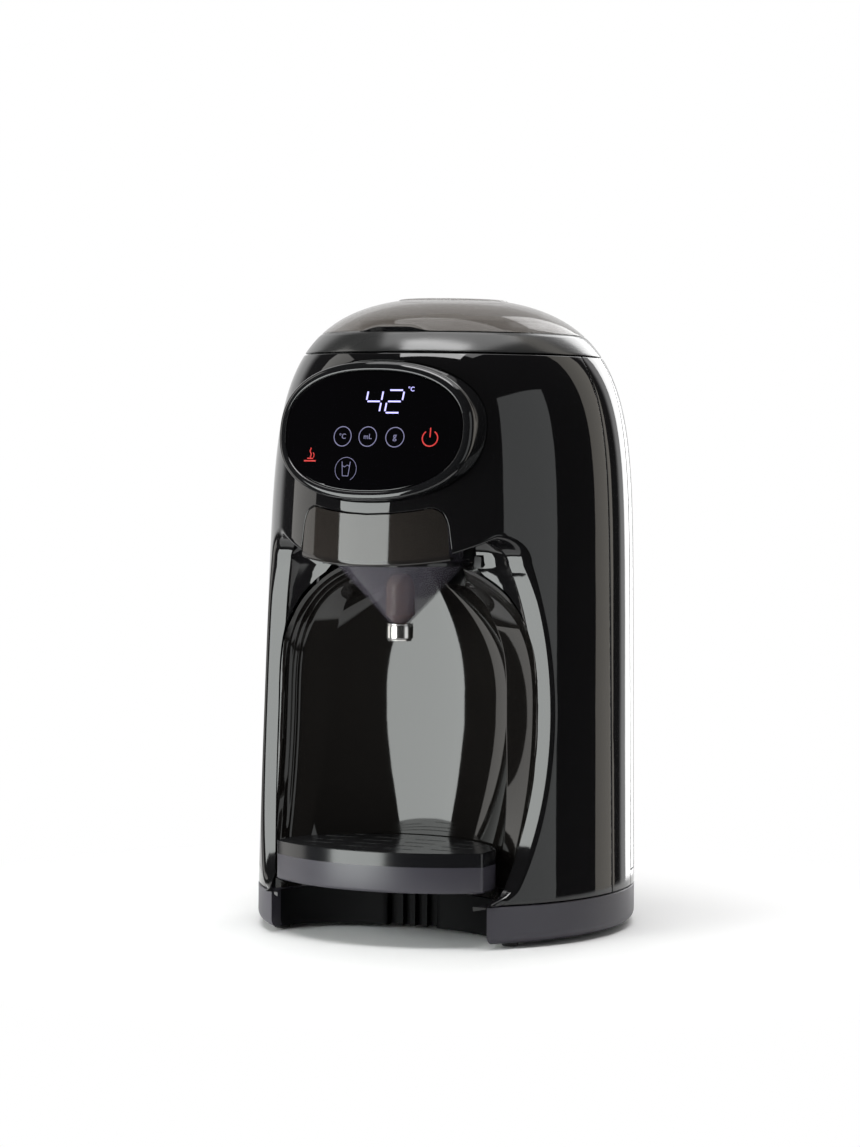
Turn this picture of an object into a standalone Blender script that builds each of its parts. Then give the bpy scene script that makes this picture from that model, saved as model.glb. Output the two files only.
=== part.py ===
"""Counter-top baby formula maker, in metres.

Frame: the origin is on the floor under the middle of the footprint, +Z is up and -Y is the front.
The body is a barrel of elliptic plan. Every casing is a slice or a skin of that one barrel, so
the casings stay flush when a size changes. The stack of heights runs from the floor up, and the
depths run from the front back. The pieces are drawn about the barrel's own middle, and the last
step moves the whole machine so that its footprint is centred.
"""

import math

import bmesh
import bpy
from mathutils import Matrix, Vector

# Fits
GAP = 0.0003
SEAM = 0.0006
OVERRUN = 0.005
MERGE = 0.00001
WALL = 0.0025

# Plan of the barrel at the base seam
BODY_HALF_WIDTH = 0.104
BODY_HALF_DEPTH = 0.116
TAPER_SHARE = 0.06
SHOULDER_POWER = 9.6
SHOULDER_ROOT = 0.4
LEAN_BACK = 0.003

# Heights from the floor up
FOOT_HEIGHT = 0.0025
BASE_HEIGHT = 0.0208
BAY_HEIGHT = 0.1767
DRAWER_HEIGHT = 0.0363
DISPLAY_SPACING = 0.0078
DISPLAY_HALF_HEIGHT = 0.0319
BROW_HEIGHT = 0.0107
COLLAR_HEIGHT = 0.0114
LID_HEIGHT = 0.020
CROWN_ALLOWANCE = 0.001

BASE_TOP = FOOT_HEIGHT + BASE_HEIGHT
BAY_TOP = BASE_TOP + BAY_HEIGHT
DRAWER_TOP = BAY_TOP + DRAWER_HEIGHT
DISPLAY_Z = DRAWER_TOP + DISPLAY_SPACING + DISPLAY_HALF_HEIGHT
COLLAR_BOTTOM = DISPLAY_Z + DISPLAY_HALF_HEIGHT + BROW_HEIGHT
LID_BOTTOM = COLLAR_BOTTOM + COLLAR_HEIGHT
TOP = LID_BOTTOM + LID_HEIGHT

# The casings part at a plane just in front of the middle
SHELL_SEAM_Y = -0.0085

# Base
BASE_EDGE_RADIUS = 0.0055
BASE_FLOOR_INSET = 0.0036
NOTCH_TO_BAY_REAR = 0.016
NOTCH_CORNER_POWER = 0.75
RECESS_HALF_WIDTH = 0.015
RECESS_DEPTH = 0.0165
COVER_THICKNESS = 0.0026
FOOT_RADIUS = 0.0045
FOOT_STEM_RADIUS = 0.0022
FOOT_STEM_HEIGHT = 0.0048
FOOT_FRONT_DEPTH_SHARE = 0.6
FOOT_REAR_DEPTH_SHARE = 0.63
FOOT_REAR_WIDTH_SHARE = 0.58
SCREW_HEAD_RADIUS = 0.003
SCREW_HEAD_HEIGHT = 0.0016
SCREW_SHANK_RADIUS = 0.0014
SCREW_LENGTH = 0.010
SCREW_MARGIN = 0.023
SCREW_FRONT_DEPTH_SHARE = 0.155
SCREW_REAR_DEPTH_SHARE = 0.345
BOSS_RADIUS = 0.0038
GLAND_RADIUS = 0.004
GLAND_FLANGE_RADIUS = 0.0054
GLAND_FLANGE_THICKNESS = 0.0015
GLAND_BORE_RADIUS = 0.0026
GLAND_LENGTH = 0.009
GLAND_PROUD = 0.0017
GLAND_X = -0.020
GLAND_RISE = 0.0115

# Side profile of the bottle bay
LEG_FACE_DEPTH = 0.0592
LEG_FACE_RADIUS = 0.235
LEG_FACE_RISE = 0.107
LEG_FLARE_HEIGHT = 0.0095
LEG_FLARE_REACH = 0.018
ROOF_CORNER_RISE = 0.0182
ROOF_CORNER_RADIUS = 0.009
ROOF_LIP_RISE = 0.0022

# Front view of the bottle bay
LEG_WIDTH = 0.034
BAY_NECK = 0.0054
BAY_WIDEST_RISE = 0.092
BAY_CROWN_POWER = 0.57
BAY_CROWN_SHARE = 0.05
BAND_WIDTH = 0.009
BOWL_SHARE = 0.55

# Funnel drawer
FUNNEL_RADIUS = 0.035
FUNNEL_WALL = 0.0015
FUNNEL_TOP_CLEARANCE = 0.0095
FUNNEL_CONE_HEIGHT = 0.0315
FUNNEL_NECK_RADIUS = 0.0056
FUNNEL_NECK_HEIGHT = 0.0085
FUNNEL_FLANGE = 0.003
CARRIER_RING = 0.006
CARRIER_THICKNESS = 0.003
DRAWER_SETBACK = 0.009
PLATE_MARGIN = 0.0022
PLATE_DRAW_IN = 0.0047
NOZZLE_WALL = 0.0014
NOZZLE_HEIGHT = 0.0095
INSERT_RADIUS = 0.0082
INSERT_BORE = 0.0024
INSERT_HEIGHT = 0.0295
FUNNEL_TO_WALL = 0.001
RAIL_WIDTH = 0.004
RAIL_HEIGHT = 0.006

# Display pod
DISPLAY_HALF_WIDTH = 0.052
DISPLAY_TILT_SHARE = 0.168
DISPLAY_BOW_RADIUS = 0.28
POD_POWER = 2.33
POD_FACETS = 32
DISPLAY_PROUD = 0.0036
POD_RIM = 0.0056
POD_RIM_THICKNESS = 0.003
GLASS_THICKNESS = 0.0018
POD_SEAT = 0.003
BOARD_HALF_WIDTH = 0.040
BOARD_HALF_HEIGHT = 0.018
BOARD_THICKNESS = 0.0016
DIGIT_HALF_WIDTH = 0.021
DIGIT_HALF_HEIGHT = 0.0085
DIGIT_THICKNESS = 0.0045
DIGIT_X = 0.006
DIGIT_RISE = 0.008

# Drip tray
TRAY_LIFT = 0.0067
TRAY_HEIGHT = 0.0215
TRAY_SIDE_CLEARANCE = 0.0028
TRAY_FRONT_SETBACK = 0.0036
TRAY_WALL = 0.002
TRAY_REAR_CLEARANCE = 0.001
GRILLE_THICKNESS = 0.002
GRILLE_RIM = 0.0012
SLOT_LENGTH = 0.018
SLOT_WIDTH = 0.0022
SLOT_ROW_PITCH = 0.014
SLOT_COLUMN_PITCH = 0.026
SLOT_ROWS = 4
SLOT_COLUMNS = 4
TONGUE_HALF_WIDTH = 0.008
TONGUE_HEIGHT = 0.004
TONGUE_LENGTH = 0.010
BRACKET_HEIGHT = 0.022
BRACKET_RIB_WIDTH = 0.003
BRACKET_RIB_DEPTH = 0.004
BRACKET_RIBS = 3

# Powder hopper and dosing drive
HOPPER_WALL = 0.002
HOPPER_CROWN = 0.007
HOPPER_FLANGE = 0.004
HOPPER_LID_THICKNESS = 0.0022
HOPPER_KNOB_RADIUS = 0.010
HOPPER_KNOB_HEIGHT = 0.0025
HOPPER_SIDE_CLEARANCE = 0.0096
HOPPER_FRONT_CLEARANCE = 0.0061
DOSING_BASE_RISE = 0.0019
DOSING_BASE_THICKNESS = 0.0025
WHEEL_INSET = 0.003
WHEEL_THICKNESS = 0.006
WHEEL_RUNNING_GAP = 0.0005
WHEEL_TEETH = 36
PINION_TEETH = 9
TOOTH_BACKLASH = 0.0005
TOOTH_TIP_SHARE = 0.85
TOOTH_ROOT_SHARE = 1.2
TOOTH_FLANK_SHARE = 0.42
POCKET_RADIUS = 0.006
POCKET_INSET = 0.014
POCKETS = 6
CHUTE_BORE = 0.007
CHUTE_WALL = 0.0015
CHUTE_HEIGHT = 0.0045
SHAFT_RADIUS = 0.003
STIRRER_HUB_RADIUS = 0.0065
STIRRER_HUB_HEIGHT = 0.009
STIRRER_BLADE_HEIGHT = 0.006
STIRRER_BLADE_THICKNESS = 0.003
STIRRER_ARM_CLEARANCE = 0.002
MOTOR_RADIUS = 0.012
MOTOR_HEIGHT = 0.034
MOTOR_BEARING_DEPTH = 0.006
PINION_ANGLE = math.radians(35)

# Inner frame
FRAME_THICKNESS = 0.003
FRAME_SHELF = 0.0027
FRAME_CLEARANCE = 0.003

# Water tank at the rear
TANK_STANDOFF = 0.012
TANK_WRAP_Y = 0.0245
TANK_LIFT = 0.0087
TANK_CLEARANCE = 0.001
TANK_LID_THICKNESS = 0.0025
TANK_LID_LEDGE = 0.0013
NICHE_GAP = 0.0008
PORT_RISE = 0.012
PORT_RADIUS = 0.0065
PORT_WALL = 0.002
PORT_LENGTH = 0.008
VALVE_SEAT_LENGTH = 0.002
VALVE_SEAT_RADIUS = 0.004
SPIGOT_RADIUS = 0.005
SPIGOT_BORE = 0.0025
RING_CLEARANCE = 0.0003
VALVE_STEM_RADIUS = 0.0014
VALVE_DISC_THICKNESS = 0.0018

# Water path
PUMP_RADIUS = 0.014
PUMP_HEIGHT = 0.040
PUMP_X = -0.030
PUMP_FOOT = 0.003
HEATER_RADIUS = 0.017
HEATER_HEIGHT = 0.100
HEATER_CAP = 0.004
HOSE_RADIUS = 0.003
HOSE_RISE = 0.012
HOSE_CLEARANCE = 0.002
SPOUT_LENGTH = 0.030
POWER_BOARD_LENGTH = 0.045
POWER_BOARD_HEIGHT = 0.070
POWER_BOARD_THICKNESS = 0.0016
POWER_BOARD_RISE = 0.060
TRANSFORMER_SIZE = 0.018
TRANSFORMER_DEPTH = 0.014

# Lid hinge behind the collar
HINGE_SETBACK = 0.0045
HINGE_RISE = 0.003
HINGE_PIN_RADIUS = 0.0015
HINGE_KNUCKLE_RADIUS = 0.0032
HINGE_EAR_HALF_WIDTH = 0.005
HINGE_LUG_WIDTH = 0.005
LID_WALL = 0.0022
LID_PLATEAU = 0.001
THUMB_NOTCH_HALF_WIDTH = 0.020
THUMB_NOTCH_HEIGHT = 0.0022

# Counts of facets
BODY_FACETS = 40
HOPPER_FACETS = 32
ROUND_FACETS = 24
SMALL_FACETS = 16
TINY_FACETS = 12


def body_share(z):
    """Width of the barrel at a height, as a share of its width at the base seam."""
    rise = max(0.0, (z - BASE_TOP) / (TOP + CROWN_ALLOWANCE - BASE_TOP))
    return (1 - TAPER_SHARE * rise) * max(0.0, 1 - rise ** SHOULDER_POWER) ** SHOULDER_ROOT


def body_lean(z):
    """How far the middle of a section stands back: the head leans back a little."""
    rise = min(1.0, max(0.0, (z - BASE_TOP) / (TOP - BASE_TOP)))
    return 4 * LEAN_BACK * rise ** 2 * (1 - rise ** 2)


def body_half_width(z, inset=0.0):
    return BODY_HALF_WIDTH * body_share(z) - inset


def body_y(z, x=0.0, inset=0.0, front=True):
    """Depth of the barrel's skin at a height and a distance from the middle."""
    half = body_half_width(z, inset)
    reach = math.sqrt(max(0.0, 1 - (x / half) ** 2))
    depth = half * BODY_HALF_DEPTH / BODY_HALF_WIDTH * reach
    return body_lean(z) + (-depth if front else depth)


# Places that follow from the sizes above
CARRIER_RADIUS = FUNNEL_RADIUS + CARRIER_RING
FUNNEL_Y = -(BODY_HALF_DEPTH - CARRIER_RADIUS - DRAWER_SETBACK)
CARRIER_Z = BAY_TOP + WALL + GAP
FUNNEL_SEAT_Z = CARRIER_Z + CARRIER_THICKNESS + GAP
FUNNEL_LOW_Z = FUNNEL_SEAT_Z - FUNNEL_CONE_HEIGHT - CARRIER_THICKNESS
FUNNEL_TOP_Z = DRAWER_TOP - FUNNEL_TOP_CLEARANCE
PLATE_LOW_HALF_WIDTH = CARRIER_RADIUS + PLATE_MARGIN
PLATE_HIGH_HALF_WIDTH = PLATE_LOW_HALF_WIDTH - PLATE_DRAW_IN
BAY_REAR_Y = FUNNEL_Y + FUNNEL_RADIUS + FUNNEL_TO_WALL
NOTCH_REAR_Y = BAY_REAR_Y - NOTCH_TO_BAY_REAR
DOSING_BASE_Z = DRAWER_TOP + DOSING_BASE_RISE
WHEEL_Z = DOSING_BASE_Z + DOSING_BASE_THICKNESS + WHEEL_RUNNING_GAP
HOPPER_Z = WHEEL_Z + WHEEL_THICKNESS + WHEEL_RUNNING_GAP
HOPPER_TOP_Z = LID_BOTTOM + HOPPER_CROWN
DOME_HALF_WIDTH = body_half_width(HOPPER_TOP_Z, LID_WALL)
DOME_FRONT_Y = body_y(HOPPER_TOP_Z) + LID_WALL
HOPPER_FLANGE_RADIUS = min(DOME_HALF_WIDTH, body_lean(HOPPER_TOP_Z) - DOME_FRONT_Y) - HOPPER_SIDE_CLEARANCE
HOPPER_RADIUS = HOPPER_FLANGE_RADIUS - HOPPER_FLANGE
HOPPER_Y = DOME_FRONT_Y + HOPPER_FRONT_CLEARANCE + HOPPER_FLANGE_RADIUS
WHEEL_PITCH_RADIUS = HOPPER_RADIUS - WHEEL_INSET
POCKET_CIRCLE_RADIUS = HOPPER_RADIUS - POCKET_INSET
WHEEL_MODULE = 2 * WHEEL_PITCH_RADIUS / WHEEL_TEETH
PINION_PITCH_RADIUS = WHEEL_MODULE * PINION_TEETH / 2
PINION_X = (WHEEL_PITCH_RADIUS + PINION_PITCH_RADIUS) * math.cos(PINION_ANGLE)
PINION_Y = HOPPER_Y + (WHEEL_PITCH_RADIUS + PINION_PITCH_RADIUS) * math.sin(PINION_ANGLE)
FRAME_X = PINION_X + MOTOR_RADIUS + FRAME_CLEARANCE
HEATER_X = HOSE_RADIUS + HEATER_RADIUS + HEATER_CAP + GAP
OUTLET_X = PINION_X - MOTOR_RADIUS - HOSE_RADIUS - HOSE_CLEARANCE
NICHE_Y = HOPPER_Y + HOPPER_RADIUS + TANK_STANDOFF
TANK_FRONT_Y = NICHE_Y + WALL + TANK_CLEARANCE
TANK_Z = BASE_TOP + TANK_LIFT
TANK_TOP_Z = COLLAR_BOTTOM - SEAM / 2
PORT_Z = TANK_Z + PORT_RISE
BAY_HALF_WIDTH = BODY_HALF_WIDTH - LEG_WIDTH
NOTCH_HALF_WIDTH = BAY_HALF_WIDTH - BAY_NECK
TRAY_HALF_WIDTH = NOTCH_HALF_WIDTH - TRAY_SIDE_CLEARANCE
TRAY_Z = BASE_TOP + TRAY_LIFT
TRAY_TOP_Z = TRAY_Z + TRAY_HEIGHT
DISPLAY_Y = body_y(DISPLAY_Z) - DISPLAY_PROUD
POD_LIP_Y = DISPLAY_Y - DISPLAY_TILT_SHARE * (DISPLAY_HALF_HEIGHT + POD_RIM)
FOOTPRINT_MIDDLE_Y = (BODY_HALF_DEPTH + POD_LIP_Y) / 2
FRAME_FRONT_Y = BAY_REAR_Y + WALL + FRAME_CLEARANCE
FRAME_REAR_Y = NICHE_Y - FRAME_CLEARANCE
FRAME_MIDDLE_Y = (FRAME_FRONT_Y + FRAME_REAR_Y) / 2
HINGE_Y = body_y(LID_BOTTOM, front=False) + HINGE_SETBACK
HINGE_Z = LID_BOTTOM + HINGE_RISE


def clear_scene():
    for item in list(bpy.data.objects):
        bpy.data.objects.remove(item, do_unlink=True)


def new_collection(name):
    group = bpy.data.collections.new(name)
    bpy.context.scene.collection.children.link(group)
    return group


def add_object(name, mesh, group):
    item = bpy.data.objects.new(name, mesh)
    group.objects.link(item)
    return item


def new_material(name, colour, roughness, metallic=0.0, alpha=1.0):
    material = bpy.data.materials.new(name)
    material.use_nodes = True
    shader = material.node_tree.nodes["Principled BSDF"]
    shader.inputs["Base Color"].default_value = (*colour, 1.0)
    shader.inputs["Roughness"].default_value = roughness
    shader.inputs["Metallic"].default_value = metallic
    shader.inputs["Alpha"].default_value = alpha
    return material


def finish_mesh(mesh):
    """Weld a mesh, turn its faces outwards and shade its round sides smooth."""
    work = bmesh.new()
    work.from_mesh(mesh)
    bmesh.ops.remove_doubles(work, verts=work.verts, dist=MERGE)
    bmesh.ops.recalc_face_normals(work, faces=work.faces)
    work.to_mesh(mesh)
    work.free()
    mesh.shade_smooth()
    mesh.set_sharp_from_angle(angle=math.radians(35))


def merge_flat_faces(mesh):
    """Turn the triangles that fill a flat outline into one face."""
    work = bmesh.new()
    work.from_mesh(mesh)
    bmesh.ops.remove_doubles(work, verts=work.verts, dist=MERGE)
    bmesh.ops.dissolve_limit(work, angle_limit=math.radians(0.05), verts=work.verts, edges=work.edges)
    work.to_mesh(mesh)
    work.free()


def evaluated_mesh(item):
    """The mesh of an object with its modifiers or bevel applied; the object is removed."""
    graph = bpy.context.evaluated_depsgraph_get()
    mesh = bpy.data.meshes.new_from_object(item.evaluated_get(graph), depsgraph=graph)
    bpy.data.objects.remove(item, do_unlink=True)
    return mesh


def turned(name, profile, group, facets=ROUND_FACETS, closed=False, centre=(0.0, 0.0)):
    """A profile of (radius, height) points turned about a vertical axis through the centre."""
    mesh = bpy.data.meshes.new(name)
    edges = [(i, i + 1) for i in range(len(profile) - 1)]
    if closed:
        edges.append((len(profile) - 1, 0))
    mesh.from_pydata([(radius, 0.0, height) for radius, height in profile], edges, [])
    item = add_object(name, mesh, group)
    screw = item.modifiers.new("Turn", "SCREW")
    screw.axis = "Z"
    screw.steps = facets
    screw.render_steps = facets
    screw.use_merge_vertices = True
    screw.merge_threshold = MERGE
    turned_mesh = evaluated_mesh(item)
    finish_mesh(turned_mesh)
    item = add_object(name, turned_mesh, group)
    item.location = (*centre, 0.0)
    return item


def rod(name, radius, low, high, group, centre=(0.0, 0.0), facets=ROUND_FACETS):
    """An upright cylinder between two heights."""
    work = bmesh.new()
    bmesh.ops.create_cone(work, cap_ends=True, segments=facets, radius1=radius, radius2=radius, depth=high - low)
    bmesh.ops.translate(work, vec=(0.0, 0.0, (low + high) / 2), verts=work.verts)
    mesh = bpy.data.meshes.new(name)
    work.to_mesh(mesh)
    work.free()
    finish_mesh(mesh)
    item = add_object(name, mesh, group)
    item.location = (*centre, 0.0)
    return item


def pipe(name, outer, bore, low, high, group, centre=(0.0, 0.0), facets=ROUND_FACETS):
    loop = [(outer, high), (outer, low), (bore, low), (bore, high)]
    return turned(name, loop, group, facets, closed=True, centre=centre)


def lay_along(item, axis, centre):
    """Turn an upright round piece onto the X or Y axis and move it to its centre."""
    if axis == "X":
        item.rotation_euler = (0.0, math.pi / 2, 0.0)
    else:
        item.rotation_euler = (-math.pi / 2, 0.0, 0.0)
    item.location = centre
    return item


def set_origin(item, origin):
    """Move an object's origin to a point and leave its shape where it is."""
    item.data.transform(Matrix.Translation(-Vector(origin)))
    item.location = origin
    return item


def box(name, low, high, group):
    work = bmesh.new()
    bmesh.ops.create_cube(work, size=1.0)
    bmesh.ops.scale(work, vec=Vector(high) - Vector(low), verts=work.verts)
    bmesh.ops.translate(work, vec=(Vector(low) + Vector(high)) / 2, verts=work.verts)
    mesh = bpy.data.meshes.new(name)
    work.to_mesh(mesh)
    work.free()
    return add_object(name, mesh, group)


def prism(name, outline, low, high, axis, group):
    """A flat outline with thickness. Axis Z takes (x, y) points, Y takes (x, z), X takes (y, z)."""
    flat = bpy.data.curves.new(name, "CURVE")
    flat.dimensions = "2D"
    flat.fill_mode = "BOTH"
    flat.extrude = (high - low) / 2
    spline = flat.splines.new("POLY")
    spline.points.add(len(outline) - 1)
    for point, (u, v) in zip(spline.points, outline):
        point.co = (u, v, 0.0, 1.0)
    spline.use_cyclic_u = True
    mesh = evaluated_mesh(add_object(name, flat, group))
    middle = (high + low) / 2
    if axis == "Z":
        mesh.transform(Matrix.Translation((0.0, 0.0, middle)))
    elif axis == "Y":
        mesh.transform(Matrix.Translation((0.0, middle, 0.0)) @ Matrix.Rotation(math.pi / 2, 4, "X"))
    else:
        upright = Matrix(((0, 0, 1, 0), (1, 0, 0, 0), (0, 1, 0, 0), (0, 0, 0, 1)))
        mesh.transform(Matrix.Translation((middle, 0.0, 0.0)) @ upright)
    merge_flat_faces(mesh)
    finish_mesh(mesh)
    return add_object(name, mesh, group)


def hose(name, points, radius, group):
    """A round hose along a few points, with rounded bends."""
    route = round_corners(points, radius * 3)
    line = bpy.data.curves.new(name, "CURVE")
    line.dimensions = "3D"
    line.bevel_depth = radius
    line.bevel_resolution = 2
    line.use_fill_caps = True
    spline = line.splines.new("POLY")
    spline.points.add(len(route) - 1)
    for point, place in zip(spline.points, route):
        point.co = (*place, 1.0)
    return add_object(name, line, group)


def round_corners(points, radius, steps=4):
    """Replace each inner corner of a route by a short parabola."""
    route = [Vector(points[0])]
    for before, corner, after in zip(points, points[1:], points[2:]):
        corner = Vector(corner)
        start = corner + (Vector(before) - corner).normalized() * radius
        end = corner + (Vector(after) - corner).normalized() * radius
        for step in range(steps + 1):
            share = step / steps
            route.append(start.lerp(corner, share).lerp(corner.lerp(end, share), share))
    route.append(Vector(points[-1]))
    return route


def boolean(item, other, operation):
    """Add a Boolean to an object; the other object becomes a hidden cutter."""
    modifier = item.modifiers.new(operation.title() + " " + other.name, "BOOLEAN")
    modifier.operation = operation
    modifier.solver = "EXACT"
    modifier.object = other
    other.hide_render = True
    other.display_type = "WIRE"
    return item


def cut(item, *others):
    for other in others:
        boolean(item, other, "DIFFERENCE")
    return item


def join(item, *others):
    for other in others:
        boolean(item, other, "UNION")
    return item


def keep(item, *others):
    for other in others:
        boolean(item, other, "INTERSECT")
    return item


def spread_heights(low, high, bands):
    """Heights from low to high that crowd towards the top, where the barrel curves most."""
    return [low + (high - low) * math.sin(math.pi / 2 * i / bands) for i in range(bands + 1)]


def barrel_mesh_to_ellipse(item):
    """Stretch a turned piece to the barrel's elliptic plan and lean its head back."""
    stretch = BODY_HALF_DEPTH / BODY_HALF_WIDTH
    for vertex in item.data.vertices:
        vertex.co.y = vertex.co.y * stretch + body_lean(vertex.co.z)
    return item


def barrel(name, low, high, inset, group, bands=7):
    """A solid slice of the barrel, drawn in by an inset."""
    side = [(body_half_width(z, inset), z) for z in reversed(spread_heights(low, high, bands))]
    profile = [(0.0, side[0][1])] + side + [(0.0, side[-1][1])]
    return barrel_mesh_to_ellipse(turned(name, profile, group, BODY_FACETS))


def front_space(name, plane_y, group):
    """Everything in front of an upright plane."""
    reach = BODY_HALF_WIDTH + OVERRUN
    return box(name, (-reach, -BODY_HALF_DEPTH * 2, -OVERRUN), (reach, plane_y, TOP + OVERRUN), group)


def rear_space(name, plane_y, group, low=None, high=None):
    """Everything behind an upright plane, from a height up to a height."""
    reach = BODY_HALF_WIDTH + OVERRUN
    floor = -OVERRUN if low is None else low
    ceiling = TOP + OVERRUN if high is None else high
    return box(name, (-reach, plane_y, floor), (reach, BODY_HALF_DEPTH * 2, ceiling), group)


def arc_points(centre, radius, start, end, steps):
    """Points on an arc from one angle to another, in degrees, both ends included."""
    angles = [math.radians(start + (end - start) * i / steps) for i in range(steps + 1)]
    return [(centre[0] + radius * math.cos(a), centre[1] + radius * math.sin(a)) for a in angles]


def leg_face_y(z, flare=False):
    """Depth of the bay's front edge at a height: a shallow arc in the side view, flared at its foot."""
    rise = z - (BASE_TOP + LEG_FACE_RISE)
    middle = -(BODY_HALF_DEPTH - LEG_FACE_DEPTH)
    y = middle - (LEG_FACE_RADIUS - math.sqrt(LEG_FACE_RADIUS ** 2 - rise ** 2))
    share = (BASE_TOP + LEG_FLARE_HEIGHT - z) / LEG_FLARE_HEIGHT
    if flare and share > 0:
        y -= LEG_FLARE_REACH * (1 - math.sqrt(max(0.0, 1 - share ** 2)))
    return y


def bay_side_cutter(name, grown, group):
    """The side view of the bay, drawn through the body from side to side."""
    roof_z = BAY_TOP + ROOF_CORNER_RISE + grown
    corner_z = roof_z - ROOF_CORNER_RADIUS
    low_z = -OVERRUN
    flare_top = BASE_TOP + LEG_FLARE_HEIGHT
    steps = 9
    heights = spread_heights(flare_top, BASE_TOP, 4)[::-1]
    heights += [flare_top + (corner_z - flare_top) * i / steps for i in range(1, steps + 1)]
    face = [(leg_face_y(z, flare=True) + grown, z) for z in heights]
    corner_y = face[-1][0] - ROOF_CORNER_RADIUS
    corner = arc_points((corner_y, corner_z), ROOF_CORNER_RADIUS, 0, 90, 5)[1:]
    lip_y = body_y(BAY_TOP)
    lip_z = BAY_TOP + ROOF_LIP_RISE + grown
    slope = (roof_z - lip_z) / (corner_y - lip_y)
    front_y = lip_y - BODY_HALF_DEPTH
    front = [(front_y, lip_z + slope * (front_y - lip_y)), (front_y, low_z), (face[0][0], low_z)]
    reach = BODY_HALF_WIDTH + OVERRUN
    return prism(name, face + corner + front, -reach, reach, "X", group)


def bay_half_width(z, grown, neck_grown):
    """Half-width of the bay at a height: a barrel with round upper corners."""
    widest_z = BASE_TOP + BAY_WIDEST_RISE
    half = BAY_HALF_WIDTH + grown
    if z < widest_z:
        share = (widest_z - max(z, BASE_TOP)) / (widest_z - BASE_TOP)
        return half - (half - NOTCH_HALF_WIDTH - neck_grown) * share ** 2
    share = (z - widest_z) / (BAY_TOP + grown - widest_z)
    return half * math.sqrt(max(BAY_CROWN_SHARE ** 2, 1 - share ** (2 / BAY_CROWN_POWER)))


def bay_heights(grown, low):
    """Levels at which the bay's sides are drawn, crowded towards its crown."""
    widest_z = BASE_TOP + BAY_WIDEST_RISE
    start_z = max(BASE_TOP, low)
    steps = 3
    heights = [start_z + (widest_z - start_z) * i / steps for i in range(steps)]
    steps = 8
    for i in range(steps + 1):
        share = math.sin(math.pi / 2 * i / steps) ** BAY_CROWN_POWER
        heights.append(widest_z + (BAY_TOP + grown - widest_z) * share)
    return [low] + heights if low < BASE_TOP else heights


def bay_outline(grown, neck_grown, low):
    """Front view of the bay as (x, z) points."""
    right = [(bay_half_width(z, grown, neck_grown), z) for z in bay_heights(grown, low)]
    return right + [(-x, z) for x, z in reversed(right)]


def bay_bowl(z, grown, neck_grown):
    """Plan of the bay's concave rear at a height: half-width, middle and depth of an ellipse."""
    face_y = leg_face_y(max(z, BASE_TOP))
    middle_y = face_y - BOWL_SHARE * (BAY_REAR_Y - face_y)
    narrowing = math.sqrt(1 - (BOWL_SHARE / (1 + BOWL_SHARE)) ** 2)
    return bay_half_width(z, grown, neck_grown) / narrowing, middle_y, BAY_REAR_Y + grown - middle_y


def bay_solid(name, grown, neck_grown, low, group):
    """The space of the bay as a solid, lofted through its plans from the floor to the crown."""
    steps = 11
    front_y = -BODY_HALF_DEPTH * 2
    work = bmesh.new()
    rings = []
    for z in bay_heights(grown, low):
        half, middle_y, depth = bay_bowl(z, grown, neck_grown)
        plan = arc_points((0.0, 0.0), 1, 0, 180, steps)
        points = [(half * u, middle_y + depth * v) for u, v in plan] + [(-half, front_y), (half, front_y)]
        rings.append([work.verts.new((x, y, z)) for x, y in points])
    for lower, upper in zip(rings, rings[1:]):
        for i in range(len(lower)):
            j = (i + 1) % len(lower)
            work.faces.new((lower[i], lower[j], upper[j], upper[i]))
    work.faces.new(rings[0][::-1])
    work.faces.new(rings[-1])
    bmesh.ops.triangulate(work, faces=work.faces)
    mesh = bpy.data.meshes.new(name)
    work.to_mesh(mesh)
    work.free()
    finish_mesh(mesh)
    return add_object(name, mesh, group)


def notch_outline(grown):
    """Plan of the arched notch in the base."""
    corner_y = body_y(BASE_TOP, NOTCH_HALF_WIDTH)
    half = NOTCH_HALF_WIDTH + grown
    depth = NOTCH_REAR_Y + grown - corner_y
    steps = 15
    arc = []
    for u, v in arc_points((0.0, 0.0), 1, 0, 180, steps):
        arc.append((half * u, corner_y + depth * max(0.0, v) ** NOTCH_CORNER_POWER))
    front_y = -BODY_HALF_DEPTH * 2
    return arc + [(-half, front_y), (half, front_y)]


def notch_half_width(y):
    """Half-width of the notch at a depth."""
    corner_y = body_y(BASE_TOP, NOTCH_HALF_WIDTH)
    share = min(1.0, max(0.0, (y - corner_y) / (NOTCH_REAR_Y - corner_y)))
    return NOTCH_HALF_WIDTH * math.sqrt(1 - share ** (2 / NOTCH_CORNER_POWER))


def recess_box(name, grown, low, high, group):
    half = RECESS_HALF_WIDTH + grown
    start_y = NOTCH_REAR_Y - WALL * 2
    return box(name, (-half, start_y, low), (half, NOTCH_REAR_Y + RECESS_DEPTH + grown, high), group)


def base_profile(inset):
    """Side of the base as (radius, height) points: upright with a rounded lower edge."""
    top_z = BASE_TOP - SEAM / 2
    radius = BASE_EDGE_RADIUS
    outer = BODY_HALF_WIDTH - inset
    centre = (outer - radius, FOOT_HEIGHT + radius)
    lower = arc_points(centre, radius, 0, -70, 3)
    floor = outer - BASE_FLOOR_INSET
    return [(0.0, top_z), (outer, top_z)] + lower + [(floor, FOOT_HEIGHT), (0.0, FOOT_HEIGHT)]


def screw_places():
    x = BODY_HALF_WIDTH - SCREW_MARGIN
    depths = (-BODY_HALF_DEPTH * SCREW_FRONT_DEPTH_SHARE, BODY_HALF_DEPTH * SCREW_REAR_DEPTH_SHARE)
    return [(side * x, y) for y in depths for side in (-1, 1)]


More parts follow.
